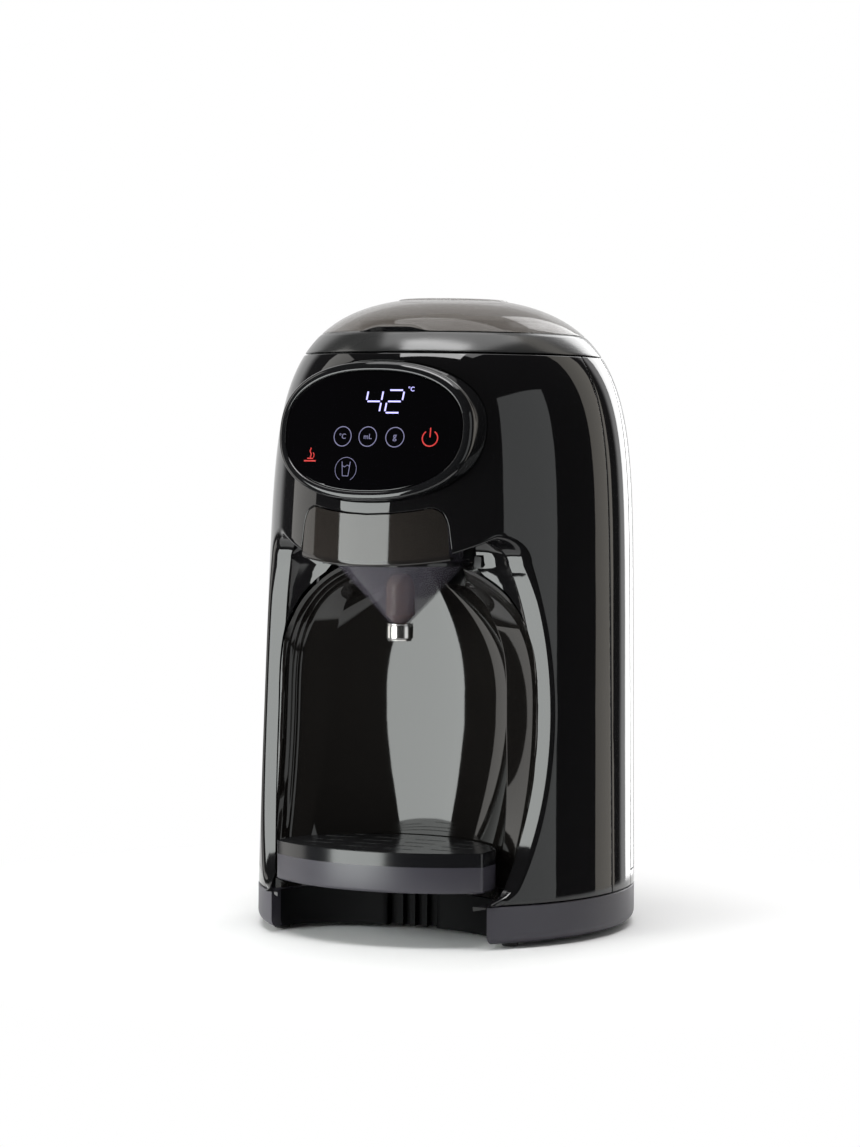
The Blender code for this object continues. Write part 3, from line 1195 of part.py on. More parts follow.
def make_dosing_base(parts, cutters):
    """Plate under the dosing wheel, with the discharge hole, the shaft bearing and the motor ear."""
    high = DOSING_BASE_Z + DOSING_BASE_THICKNESS
    item = rod("dosing_base", HOPPER_RADIUS, DOSING_BASE_Z, high, parts, (0.0, HOPPER_Y), HOPPER_FACETS)
    ear = rod("motor_ear", MOTOR_RADIUS, DOSING_BASE_Z, high, cutters, (PINION_X, PINION_Y), ROUND_FACETS)
    join(item, ear)
    holes = ((0.0, HOPPER_Y - POCKET_CIRCLE_RADIUS, CHUTE_BORE), (0.0, HOPPER_Y, SHAFT_RADIUS + GAP),
             (PINION_X, PINION_Y, SHAFT_RADIUS / 2 + GAP))
    for index, (x, y, radius) in enumerate(holes):
        cut(item, rod(f"dosing_hole_{index}", radius, DOSING_BASE_Z - OVERRUN, TOP, cutters, (x, y), SMALL_FACETS))
    chute = pipe("powder_chute", CHUTE_BORE + CHUTE_WALL, CHUTE_BORE, DOSING_BASE_Z - GAP - CHUTE_HEIGHT,
                 DOSING_BASE_Z - GAP, parts, (0.0, HOPPER_Y - POCKET_CIRCLE_RADIUS), SMALL_FACETS)
    motor_top = DOSING_BASE_Z - GAP
    motor = rod("gear_motor", MOTOR_RADIUS, motor_top - MOTOR_HEIGHT, motor_top, parts, (PINION_X, PINION_Y))
    cut(motor, rod("motor_bearing", SHAFT_RADIUS / 2 + GAP, motor_top - MOTOR_BEARING_DEPTH, TOP, cutters,
                   (PINION_X, PINION_Y), TINY_FACETS))
    return item, chute, motor


def make_hopper(parts, cutters):
    """Powder hopper that hangs by its flange on the collar's deck, with a lift-off lid."""
    inner = HOPPER_RADIUS - HOPPER_WALL
    floor_z = HOPPER_Z + HOPPER_WALL
    flange_z = COLLAR_BOTTOM + SEAM / 2 + WALL + GAP
    bore = SHAFT_RADIUS + 2 * GAP
    loop = [(HOPPER_RADIUS, HOPPER_TOP_Z), (HOPPER_RADIUS, flange_z + HOPPER_WALL),
            (HOPPER_RADIUS + HOPPER_FLANGE, flange_z + HOPPER_WALL), (HOPPER_RADIUS + HOPPER_FLANGE, flange_z),
            (HOPPER_RADIUS, flange_z), (HOPPER_RADIUS, HOPPER_Z), (bore, HOPPER_Z), (bore, floor_z),
            (inner, floor_z), (inner, HOPPER_TOP_Z)]
    item = turned("powder_hopper", loop, parts, HOPPER_FACETS, closed=True, centre=(0.0, HOPPER_Y))
    cut(item, rod("hopper_outlet", CHUTE_BORE, HOPPER_Z - OVERRUN, floor_z + OVERRUN, cutters,
                  (0.0, HOPPER_Y + POCKET_CIRCLE_RADIUS), SMALL_FACETS))
    lid_z = HOPPER_TOP_Z + GAP
    plug = inner - GAP
    profile = [(0.0, lid_z + HOPPER_LID_THICKNESS + HOPPER_KNOB_HEIGHT),
               (HOPPER_KNOB_RADIUS, lid_z + HOPPER_LID_THICKNESS + HOPPER_KNOB_HEIGHT),
               (HOPPER_KNOB_RADIUS, lid_z + HOPPER_LID_THICKNESS), (inner, lid_z + HOPPER_LID_THICKNESS),
               (HOPPER_RADIUS, lid_z), (plug, lid_z), (plug, lid_z - HOPPER_LID_THICKNESS),
               (0.0, lid_z - HOPPER_LID_THICKNESS)]
    lid = turned("hopper_lid", profile, parts, HOPPER_FACETS, centre=(0.0, HOPPER_Y))
    return item, lid


def make_inner_frame(parts):
    """Bridge over the pump and the heater that carries the dosing base."""
    low = BASE_TOP + SEAM / 2
    high = DOSING_BASE_Z - GAP
    outer = FRAME_X + FRAME_THICKNESS
    inner_top = high - FRAME_SHELF
    outline = [(-outer, low), (-FRAME_X, low), (-FRAME_X, inner_top), (FRAME_X, inner_top), (FRAME_X, low),
               (outer, low), (outer, high), (-outer, high)]
    return prism("inner_frame", outline, FRAME_FRONT_Y, FRAME_REAR_Y, "Y", parts)


def fit_inner_frame(frame, cutters):
    """Holes in the frame's shelf for the motor and for the hopper drive's shaft end."""
    cut(frame, rod("frame_motor_hole", MOTOR_RADIUS + GAP * 2, DOSING_BASE_Z - MOTOR_HEIGHT, TOP, cutters,
                   (PINION_X, PINION_Y), ROUND_FACETS))
    return frame


def make_tank(parts, cutters):
    """Water tank: its skin completes the barrel at the rear and wraps forward as two wings."""
    item = barrel("water_tank", TANK_Z, TANK_TOP_Z, 0.0, parts)
    cut(item, front_space("tank_front_plane", TANK_WRAP_Y + SEAM / 2, cutters))
    wings = barrel("between_wings", TANK_Z - OVERRUN, TANK_TOP_Z + OVERRUN, WALL, cutters)
    cut(wings, rear_space("between_wings_end", TANK_FRONT_Y, cutters))
    water_top = TANK_TOP_Z - TANK_LID_THICKNESS - GAP
    water = barrel("tank_water", TANK_Z + WALL, TANK_TOP_Z + OVERRUN, WALL, cutters, 5)
    cut(water, front_space("tank_water_front", TANK_FRONT_Y + WALL, cutters))
    ledge = barrel("tank_ledge", water_top, TANK_TOP_Z + OVERRUN, TANK_LID_LEDGE, cutters, 1)
    cut(ledge, front_space("tank_ledge_front", TANK_FRONT_Y + TANK_LID_LEDGE, cutters))
    cut(item, wings, water, ledge)
    port_end = TANK_FRONT_Y + WALL + PORT_LENGTH
    boss = rod("port_boss", PORT_RADIUS + PORT_WALL, TANK_FRONT_Y, port_end, cutters, facets=SMALL_FACETS)
    join(item, lay_along(boss, "Y", (0.0, 0.0, PORT_Z)))
    seat_y = port_end - VALVE_SEAT_LENGTH
    bore = rod("port_bore", PORT_RADIUS, TANK_FRONT_Y - OVERRUN, seat_y, cutters, facets=SMALL_FACETS)
    cut(item, lay_along(bore, "Y", (0.0, 0.0, PORT_Z)))
    seat = rod("seat_bore", VALVE_SEAT_RADIUS, seat_y - WALL, port_end + OVERRUN, cutters, facets=SMALL_FACETS)
    cut(item, lay_along(seat, "Y", (0.0, 0.0, PORT_Z)))
    lid = barrel("tank_lid", water_top + GAP, TANK_TOP_Z, TANK_LID_LEDGE + GAP, parts, 1)
    cut(lid, front_space("tank_lid_front", TANK_FRONT_Y + TANK_LID_LEDGE + GAP, cutters))
    disc_y = port_end + GAP
    spigot_end = seat_y - WALL
    stem = [(0.0, disc_y + VALVE_DISC_THICKNESS), (PORT_RADIUS, disc_y + VALVE_DISC_THICKNESS),
            (PORT_RADIUS, disc_y), (VALVE_STEM_RADIUS, disc_y), (VALVE_STEM_RADIUS, spigot_end + GAP),
            (0.0, spigot_end + GAP)]
    valve = lay_along(turned("tank_valve", stem, parts, SMALL_FACETS), "Y", (0.0, 0.0, PORT_Z))
    spigot = pipe("tank_spigot", SPIGOT_RADIUS, SPIGOT_BORE, NICHE_Y - OVERRUN * 2, spigot_end, parts,
                  facets=SMALL_FACETS)
    lay_along(spigot, "Y", (0.0, 0.0, PORT_Z))
    ring_y = (TANK_FRONT_Y + spigot_end) / 2
    middle = (SPIGOT_RADIUS + PORT_RADIUS) / 2
    cord_radius = (PORT_RADIUS - SPIGOT_RADIUS) / 2 - RING_CLEARANCE
    ring = turned("spigot_ring", arc_points((middle, ring_y), cord_radius, 0, 300, 5), parts, TINY_FACETS,
                  closed=True)
    lay_along(ring, "Y", (0.0, 0.0, PORT_Z))
    return item, lid, valve, spigot, ring


def make_water_path(parts, cutters):
    """Pump, heater, hoses and the spout over the funnel."""
    deck_z = BASE_TOP + GAP
    y = FRAME_MIDDLE_Y
    pump_top = deck_z + PUMP_HEIGHT
    pump_profile = [(0.0, pump_top), (PUMP_RADIUS, pump_top), (PUMP_RADIUS, deck_z + PUMP_FOOT),
                    (PUMP_RADIUS + PUMP_FOOT, deck_z + PUMP_FOOT), (PUMP_RADIUS + PUMP_FOOT, deck_z), (0.0, deck_z)]
    pump = turned("water_pump", pump_profile, parts, centre=(PUMP_X, y))
    heater_top = deck_z + HEATER_HEIGHT
    profile = [(0.0, heater_top), (HEATER_RADIUS - HEATER_CAP, heater_top),
               (HEATER_RADIUS, heater_top - HEATER_CAP), (HEATER_RADIUS, deck_z + HEATER_CAP),
               (HEATER_RADIUS + HEATER_CAP, deck_z + HEATER_CAP), (HEATER_RADIUS + HEATER_CAP, deck_z),
               (0.0, deck_z)]
    heater = turned("water_heater", profile, parts, centre=(HEATER_X, y))
    spigot_front = (0.0, NICHE_Y - OVERRUN * 2 - GAP, PORT_Z)
    return_x = OUTLET_X - 2 * HOSE_RADIUS - HOSE_CLEARANCE
    suction = hose("suction_hose", [spigot_front, (0.0, y, PORT_Z), (PUMP_X + PUMP_RADIUS + GAP, y, PORT_Z)],
                   HOSE_RADIUS, parts)
    top_z = heater_top + HOSE_RISE
    pressure = hose("pressure_hose", [(PUMP_X, y, pump_top + GAP), (PUMP_X, y, top_z),
                                      (return_x, y, top_z), (return_x, y, heater_top + GAP)],
                    HOSE_RADIUS, parts)
    spout_z = DOSING_BASE_Z - FRAME_SHELF - 2 * GAP - HOSE_RADIUS
    spout_rear = FRAME_FRONT_Y
    outlet = hose("outlet_hose", [(OUTLET_X, y, heater_top + GAP), (OUTLET_X, y, spout_z - GAP),
                                  (OUTLET_X, spout_rear + GAP, spout_z - GAP)], HOSE_RADIUS, parts)
    spout = pipe("water_spout", HOSE_RADIUS, HOSE_RADIUS / 2, spout_rear - SPOUT_LENGTH, spout_rear, parts,
                 facets=TINY_FACETS)
    lay_along(spout, "Y", (OUTLET_X, 0.0, spout_z - GAP))
    return pump, heater, suction, pressure, outlet, spout


def make_power_board(parts):
    """Mains board on the left side of the frame, with its transformer."""
    x = -FRAME_X + GAP
    low_y = FRAME_MIDDLE_Y - POWER_BOARD_LENGTH / 2
    low_z = BASE_TOP + POWER_BOARD_RISE
    board = box("power_board", (x, low_y, low_z),
                (x + POWER_BOARD_THICKNESS, low_y + POWER_BOARD_LENGTH, low_z + POWER_BOARD_HEIGHT), parts)
    core_x = x + POWER_BOARD_THICKNESS + GAP
    half = TRANSFORMER_SIZE / 2
    core_z = low_z + POWER_BOARD_HEIGHT / 2
    core = box("transformer", (core_x, FRAME_MIDDLE_Y - half, core_z - half),
               (core_x + TRANSFORMER_DEPTH, FRAME_MIDDLE_Y + half, core_z + half), parts)
    return board, core


def main():
    clear_scene()
    parts = new_collection("baby_formula_maker")
    cutters = new_collection("cutters")

    gloss_black = new_material("gloss black", (0.012, 0.012, 0.013), 0.08)
    satin_grey = new_material("satin grey", (0.055, 0.052, 0.065), 0.38)
    smoke = new_material("smoked plastic", (0.06, 0.055, 0.05), 0.06, alpha=0.55)
    clear_tint = new_material("tinted clear", (0.25, 0.24, 0.25), 0.05, alpha=0.35)
    amber = new_material("amber insert", (0.16, 0.10, 0.06), 0.3)
    steel = new_material("steel", (0.62, 0.60, 0.57), 0.2, 1.0)
    rubber = new_material("black rubber", (0.02, 0.02, 0.02), 0.8)
    glass = new_material("black glass", (0.004, 0.004, 0.005), 0.03)
    board_green = new_material("board green", (0.02, 0.12, 0.05), 0.5)
    white_plastic = new_material("white plastic", (0.75, 0.75, 0.73), 0.4)
    dark_plastic = new_material("dark plastic", (0.03, 0.03, 0.032), 0.5)

    paint = {}
    paint[make_base_housing(parts, cutters)] = satin_grey
    paint[make_base_cover(parts, cutters)] = dark_plastic
    feet, screws = make_feet_and_screws(parts)
    for foot in feet:
        paint[foot] = rubber
    for screw in screws:
        paint[screw] = steel
    paint[make_cord_gland(parts)] = rubber
    paint[make_front_shell(parts, cutters)] = gloss_black
    paint[make_rear_shell(parts, cutters)] = gloss_black
    paint[make_collar(parts, cutters)] = gloss_black
    paint[make_lid(parts, cutters)] = smoke
    paint[make_hinge_pin(parts)] = steel
    paint[make_bay_liner(parts, cutters)] = gloss_black

    ring, touch_glass, board, digits = make_display(parts, cutters)
    paint.update({ring: gloss_black, touch_glass: glass, board: board_green, digits: dark_plastic})

    paint[make_funnel_drawer(parts, cutters)] = smoke
    paint[make_funnel(parts)] = clear_tint
    insert, nozzle = make_insert_and_nozzle(parts)
    paint.update({insert: amber, nozzle: steel})
    for rail in make_drawer_rails(parts):
        paint[rail] = dark_plastic

    tray, grille = make_tray(parts, cutters)
    paint.update({tray: satin_grey, grille: gloss_black})
    paint[make_tray_bracket(parts, cutters)] = dark_plastic

    wheel, shaft, stirrer, pinion = make_dosing_drive(parts, cutters)
    paint.update({wheel: white_plastic, shaft: steel, stirrer: white_plastic, pinion: white_plastic})
    dosing_base, chute, motor = make_dosing_base(parts, cutters)
    paint.update({dosing_base: dark_plastic, chute: dark_plastic, motor: steel})
    hopper, hopper_lid = make_hopper(parts, cutters)
    paint.update({hopper: clear_tint, hopper_lid: clear_tint})
    paint[fit_inner_frame(make_inner_frame(parts), cutters)] = dark_plastic

    tank, tank_lid, valve, spigot, seal = make_tank(parts, cutters)
    paint.update({tank: gloss_black, tank_lid: dark_plastic, valve: dark_plastic, spigot: dark_plastic})
    paint[seal] = rubber

    pump, heater, suction, pressure, outlet, spout = make_water_path(parts, cutters)
    paint.update({pump: dark_plastic, heater: steel, suction: white_plastic, pressure: white_plastic})
    paint.update({outlet: white_plastic, spout: steel})
    power_board, transformer = make_power_board(parts)
    paint.update({power_board: board_green, transformer: dark_plastic})

    for item, material in paint.items():
        item.data.materials.clear()
        item.data.materials.append(material)
    for item in list(parts.objects) + list(cutters.objects):
        item.location.y -= FOOTPRINT_MIDDLE_Y


main()
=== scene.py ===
import math

import bmesh
import bpy
from mathutils import Matrix, Vector

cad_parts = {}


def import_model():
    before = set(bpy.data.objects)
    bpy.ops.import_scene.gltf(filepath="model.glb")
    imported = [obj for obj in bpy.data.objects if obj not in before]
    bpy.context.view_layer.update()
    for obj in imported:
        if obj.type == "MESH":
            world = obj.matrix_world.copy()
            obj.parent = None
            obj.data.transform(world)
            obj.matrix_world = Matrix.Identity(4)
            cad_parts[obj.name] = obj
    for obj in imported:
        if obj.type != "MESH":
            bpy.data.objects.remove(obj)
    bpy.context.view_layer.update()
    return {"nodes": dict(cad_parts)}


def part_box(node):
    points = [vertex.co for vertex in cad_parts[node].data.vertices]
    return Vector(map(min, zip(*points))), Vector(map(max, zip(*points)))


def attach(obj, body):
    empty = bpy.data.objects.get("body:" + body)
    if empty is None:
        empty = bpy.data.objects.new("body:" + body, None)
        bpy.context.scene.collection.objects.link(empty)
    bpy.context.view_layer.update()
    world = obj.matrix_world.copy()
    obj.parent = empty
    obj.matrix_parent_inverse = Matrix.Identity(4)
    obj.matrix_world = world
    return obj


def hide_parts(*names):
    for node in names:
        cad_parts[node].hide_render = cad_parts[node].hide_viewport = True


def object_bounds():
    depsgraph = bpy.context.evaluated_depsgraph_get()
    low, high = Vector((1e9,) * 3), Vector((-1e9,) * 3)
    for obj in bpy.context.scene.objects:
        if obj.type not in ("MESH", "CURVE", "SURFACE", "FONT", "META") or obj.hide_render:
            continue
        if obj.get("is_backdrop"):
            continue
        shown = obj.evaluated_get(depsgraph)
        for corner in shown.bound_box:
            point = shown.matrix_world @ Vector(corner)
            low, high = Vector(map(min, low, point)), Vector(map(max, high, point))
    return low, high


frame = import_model()
nodes = frame["nodes"]

# ---------------------------------------------------------------- the body's measures, in metres

MIDDLE_Y = 0.0010482          # the middle of the footprint, in the drawing's own frame
GAP = 0.0003
SEAM = 0.0006
WALL = 0.0025
HALF_WIDTH = 0.104
HALF_DEPTH = 0.116
BASE_LOW = 0.0025
BASE_TOP = 0.0233
BAY_TOP = 0.200
DISPLAY_Z = 0.276
COLLAR_LOW = 0.3186
LID_LOW = 0.330
TOP = 0.350
CROWN = 0.001
SEAM_Y = -0.0085
FUNNEL_Y = -0.066
BAY_REAR_Y = -0.030
NOTCH_HALF = 0.0646
NOTCH_REAR_Y = -0.046
BAY_HALF = 0.070
BAY_WIDEST = 0.1153
ROOF_Z = 0.2182
ROOF_RADIUS = 0.013
LIP_Z = 0.2022
LIP_SLOPE = 0.327
BAND = 0.009                  # border of the bay between lining and leg
FACE_WIDTH = 0.0112           # flat face of the leg beside the skin
FLARE_Z = 0.0328              # below this the leg's foot runs forwards
LINING_LOW = 0.0296
BULGE = 0.55                  # how far the rear wall's ellipse is centred in front of the leg
CORNER_POWER = 0.57           # roundness of the bay's upper corners
NOTCH_POWER = 0.75            # roundness of the notch
TANK_LOW = 0.032
TANK_WRAP_Y = 0.0248
NICHE_Y = 0.05005
TANK_FRONT_Y = 0.05355
HINGE_Y = 0.08785
HINGE_Z = 0.333
HOPPER_Y = -0.010
HOPPER_RADIUS = 0.04805
SKIN_SCALE = 0.110            # length along the skin for each radian round the barrel
POD_HALF_X = 0.052
POD_HALF_Z = 0.0319
POD_POWER = 2.33
POD_Y = -0.107604
POD_TILT = 0.168
POD_BOW = 0.28


def spaced(low, high, count):
    """Evenly spaced values with both ends."""
    return [low + (high - low) * i / count for i in range(count + 1)]


def share(z):
    """Width of the barrel at a height, as a share of its foot's."""
    rise = max(0.0, (z - BASE_TOP) / (TOP + CROWN - BASE_TOP))
    return (1 - 0.06 * rise) * max(0.0, 1 - rise ** 9.6) ** 0.4


def lean(z):
    """How far the barrel's middle lies to the rear at a height."""
    rise = min(1.0, max(0.0, (z - BASE_TOP) / (TOP - BASE_TOP)))
    return 0.012 * rise ** 2 * (1 - rise ** 2)


def skin_y(z, x=0.0):
    """Depth of the front skin."""
    half = HALF_WIDTH * share(z)
    return lean(z) - math.sqrt(max(0.0, 1 - (x / half) ** 2)) * half * HALF_DEPTH / HALF_WIDTH


def skin_x(z, y, inset=0.0):
    """Half-width of the skin at a depth."""
    half = HALF_WIDTH * share(z) - inset
    return half * math.sqrt(max(0.0, 1 - ((y - lean(z)) / (half * HALF_DEPTH / HALF_WIDTH)) ** 2))


def across(x, z):
    """Place round the barrel, as a length, of a point of the front skin."""
    return SKIN_SCALE * math.asin(max(-1.0, min(1.0, x / (HALF_WIDTH * share(z)))))


def round_to(y, z):
    """Place round the barrel, as a length, at which the skin reaches a depth."""
    half = HALF_DEPTH * share(z)
    return SKIN_SCALE * math.acos(max(-1.0, min(1.0, (lean(z) - y) / half)))


def barrel(u, z, h, turn=0.0):
    """A point of the barrel: length round it from the front, height, and distance out of the skin."""
    angle = turn + u / SKIN_SCALE
    sine, cosine = math.sin(angle), math.cos(angle)
    size = share(z)
    point = Vector((HALF_WIDTH * size * sine, lean(z) - HALF_DEPTH * size * cosine, z))
    if abs(h) < 1e-9:
        return point
    step = 0.0001
    slope = (share(z + step) - share(z - step)) / (2 * step)
    drift = (lean(z + step) - lean(z - step)) / (2 * step)
    along = Vector((HALF_WIDTH * size * cosine, HALF_DEPTH * size * sine, 0))
    up = Vector((HALF_WIDTH * slope * sine, drift - HALF_DEPTH * slope * cosine, 1))
    return point + along.cross(up).normalized() * h


def rear_barrel(u, z, h):
    return barrel(u, z, h, math.pi)


def pod_face(x, z, h):
    """A point of the display's tilted and bowed front."""
    y = POD_Y + POD_TILT * (z - DISPLAY_Z) + x * x / (2 * POD_BOW)
    return Vector((x, y, z)) + Vector((-x / POD_BOW, -1, POD_TILT)).normalized() * h


def leg_face_y(z, flare=False):
    """Depth of the leg's front face: an arc of 0.235 m, with the foot's flare if asked."""
    y = -0.0568 - (0.235 - math.sqrt(0.235 ** 2 - (z - 0.1303) ** 2))
    part = (FLARE_Z - z) / 0.0095
    if flare and part > 0:
        y -= 0.018 * (1 - math.sqrt(max(0.0, 1 - part ** 2)))
    return y


def bay_half(z, grown=0.0, neck=0.0):
    """Half-width of the bottle bay at a height: a barrel with round upper corners."""
    half = BAY_HALF + grown
    if z < BAY_WIDEST:
        part = (BAY_WIDEST - max(z, BASE_TOP)) / 0.092
        return half - (half - NOTCH_HALF - neck) * part ** 2
    part = min(1.0, (z - BAY_WIDEST) / (BAY_TOP + grown - BAY_WIDEST))
    return half * math.sqrt(max(0.0025, 1 - part ** (2 / CORNER_POWER)))


def bay_ellipse(z, half):
    """Middle, half-depth and half-width of the ellipse that the bay's rear wall follows at a height."""
    face = leg_face_y(z)
    middle = face - BULGE * (BAY_REAR_Y - face)
    return middle, BAY_REAR_Y - middle, half / math.sqrt(1 - (BULGE / (1 + BULGE)) ** 2)


def rear_arc(start, reach_x, reach_y, count=48, middle=0.0):
    """Plan points of an ellipse from one side round its rear to the other."""
    return [(reach_x * math.cos(a), middle + reach_y * math.sin(a)) for a in spaced(start, math.pi - start, count)]


def side_curve():
    """Side view of the bay's opening: up the leg, round the corner and on to the lip, as (y, z)."""
    corner_z = ROOF_Z - ROOF_RADIUS
    levels = [BASE_TOP + GAP + 0.0092 * t ** 1.6 for t in spaced(0, 1, 8)] + spaced(FLARE_Z, corner_z, 44)[1:]
    points = [(leg_face_y(z, True), z) for z in levels]
    centre_y = points[-1][0] - ROOF_RADIUS
    for angle in spaced(0, math.pi / 2, 8)[1:]:
        points.append((centre_y + ROOF_RADIUS * math.cos(angle), corner_z + ROOF_RADIUS * math.sin(angle)))
    lip = zip(spaced(centre_y, skin_y(BAY_TOP), 24), spaced(ROOF_Z, LIP_Z, 24))
    return points + list(lip)[1:]


def pod_outline(grown, count=96, start=0.0, end=2 * math.pi):
    """Rounded oval of the display, as (x, z)."""
    points = []
    for angle in spaced(start, end, count):
        c, s = math.cos(angle), math.sin(angle)
        points.append(((POD_HALF_X + grown) * math.copysign(abs(c) ** (2 / POD_POWER), c),
                       DISPLAY_Z + (POD_HALF_Z + grown) * math.copysign(abs(s) ** (2 / POD_POWER), s)))
    return points


# ---------------------------------------------------------------- making pieces

def bend(first, corner, last, count):
    """Points of the curve from first to last that leans on a corner."""
    return [first * (1 - t) ** 2 + corner * 2 * t * (1 - t) + last * t * t for t in spaced(0, 1, count)]


def soften(points, radius, steps=4, closed=False):
    """Round the corners of a chain of points."""
    result = []
    for i, here in enumerate(points):
        here = Vector(here[:2])
        if not closed and i in (0, len(points) - 1):
            result.append(tuple(here))
            continue
        before = Vector(points[i - 1][:2]) - here
        after = Vector(points[(i + 1) % len(points)][:2]) - here
        reach = min(radius, before.length * 0.45, after.length * 0.45)
        straight = abs(before.normalized().dot(after.normalized())) > 0.996
        if before.length < 1e-7 or after.length < 1e-7 or straight:
            result.append(tuple(here))
            continue
        first, last = here + before.normalized() * reach, here + after.normalized() * reach
        result += [tuple(point) for point in bend(first, here, last, steps)]
    return result


def settle(name, work, body, finish, replaces=(), sharp=38, corner_normals=None):
    """Turn a bmesh into a finished piece that rides on a body."""
    mesh = bpy.data.meshes.new(name)
    for vertex in work.verts:
        vertex.co.y -= MIDDLE_Y
    work.to_mesh(mesh)
    work.free()
    mesh.shade_smooth()
    if corner_normals:
        mesh.normals_split_custom_set(corner_normals)
    else:
        mesh.set_sharp_from_angle(angle=math.radians(sharp))
    piece = bpy.data.objects.new(name, mesh)
    bpy.context.scene.collection.objects.link(piece)
    for each in finish if isinstance(finish, (list, tuple)) else [finish]:
        mesh.materials.append(each)
    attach(piece, body)
    if replaces:
        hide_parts(*replaces)
    return piece


def whole(work):
    return work.verts[:] + work.edges[:] + work.faces[:]


def raised(outline, low, high):
    """A flat outline raised between two heights, as a closed shape."""
    work = bmesh.new()
    work.faces.new([work.verts.new((x, y, low)) for x, y in outline])
    made = bmesh.ops.extrude_face_region(work, geom=work.faces[:])
    top = [item for item in made["geom"] if isinstance(item, bmesh.types.BMVert)]
    bmesh.ops.translate(work, vec=(0, 0, high - low), verts=top)
    if not any(all(v.co.z < (low + high) / 2 for v in f.verts) for f in work.faces):
        work.faces.new([v for v in work.verts if v.co.z < (low + high) / 2])
    bmesh.ops.recalc_face_normals(work, faces=work.faces)
    return work


def round_edges(work, edges, size, segments, clamp=False):
    bmesh.ops.bevel(work, geom=edges, offset=size, segments=segments, profile=0.5, affect="EDGES",
                    material=-1, clamp_overlap=clamp)


def plate(outline, wrap, thickness=WALL, rim=0.0006, segments=3, step=0.004, halves=True, plain=None):
    """A flat plate with rounded rims, divided into a grid and then laid on a curved surface.
    Returns the bmesh and the normals of its corners."""
    work = raised(outline, -thickness, 0.0)
    rims = []
    for edge in work.edges:
        a, b = (v.co for v in edge.verts)
        if min(a.z, b.z) < -1e-7 or (halves and max(abs(a.x), abs(b.x)) < 1e-6):
            continue
        middle = (a + b) / 2
        if plain and plain(middle.x, middle.y):
            continue
        rims.append(edge)
    round_edges(work, rims, rim, segments, True)
    if halves:
        middle = [f for f in work.faces if all(abs(v.co.x) < 1e-6 for v in f.verts)]
        bmesh.ops.delete(work, geom=middle, context="FACES_ONLY")
    for axis in (0, 1):
        values = [v.co[axis] for v in work.verts]
        low, high = min(values), max(values)
        count = max(1, round((high - low) / step))
        normal = Vector((0, 0, 0))
        normal[axis] = 1
        for i in range(1, count):
            place = Vector((0, 0, 0))
            place[axis] = low + (high - low) * (i + 0.013) / count
            bmesh.ops.bisect_plane(work, geom=whole(work), dist=1e-6, plane_co=place, plane_no=normal)
    if halves:
        bmesh.ops.mirror(work, geom=whole(work), matrix=Matrix(), merge_dist=2e-6, axis="X")
        bmesh.ops.remove_doubles(work, verts=work.verts, dist=1e-6)
    bmesh.ops.recalc_face_normals(work, faces=work.faces)
    return wrapped(work, wrap)


def wrapped(work, wrap):
    """Lay a flat bmesh on a curved surface, with the flat shape's smoothed normals carried along."""
    work.normal_update()
    flat = []
    areas = {face: face.calc_area() for face in work.faces}
    for face in work.faces:
        for loop in face.loops:
            total = Vector((0, 0, 0))
            for other in loop.vert.link_faces:
                if other.normal.dot(face.normal) > 0.76:
                    total += other.normal * areas[other]
            flat.append((loop.vert, total.normalized() if total.length else face.normal.copy()))
    frames = {}
    for vertex in work.verts:
        u, v, h = vertex.co
        step = 0.0002
        along = (wrap(u + step, v, h) - wrap(u - step, v, h)).normalized()
        up = wrap(u, v + step, h) - wrap(u, v - step, h)
        out = along.cross(up).normalized()
        frames[vertex] = (along, out.cross(along), out, wrap(u, v, h))
    normals = []
    for vertex, normal in flat:
        along, up, out, place = frames[vertex]
        normals.append((along * normal.x + up * normal.y + out * normal.z).normalized())
    for vertex, (along, up, out, place) in frames.items():
        vertex.co = place
    return work, normals


def merged(*parts):
    """Several shapes with their corner normals as one."""
    work, normals = parts[0]
    for other, more in parts[1:]:
        join_into(work, other)
        normals = normals + more
    return work, normals


def loft(rows, thickness=0.0, closed=False, mirrored=False, toward=None):
    """A grid laid through rows of points, given a wall if asked, and mirrored from side to side if asked."""
    across_count, along_count = len(rows[0]), len(rows)
    work = bmesh.new()
    bmesh.ops.create_grid(work, x_segments=across_count - 1, y_segments=along_count - 1, size=1)
    for vertex in work.verts:
        i = round((vertex.co.x + 1) / 2 * (across_count - 1))
        j = round((vertex.co.y + 1) / 2 * (along_count - 1))
        vertex.co = rows[j][i]
    if mirrored:
        bmesh.ops.mirror(work, geom=whole(work), matrix=Matrix(), merge_dist=1e-6, axis="X")
    bmesh.ops.remove_doubles(work, verts=work.verts, dist=2e-6)
    bmesh.ops.dissolve_degenerate(work, edges=work.edges, dist=1e-6)
    if closed:
        bmesh.ops.holes_fill(work, edges=work.edges)
    bmesh.ops.recalc_face_normals(work, faces=work.faces)
    work.normal_update()
    if toward is not None:
        total = sum((f.normal.dot(Vector(toward) - f.calc_center_median()) * f.calc_area()) for f in work.faces)
        if total < 0:
            bmesh.ops.reverse_faces(work, faces=work.faces)
    if thickness:
        bmesh.ops.solidify(work, geom=work.faces[:], thickness=thickness)
        bmesh.ops.recalc_face_normals(work, faces=work.faces)
    return work


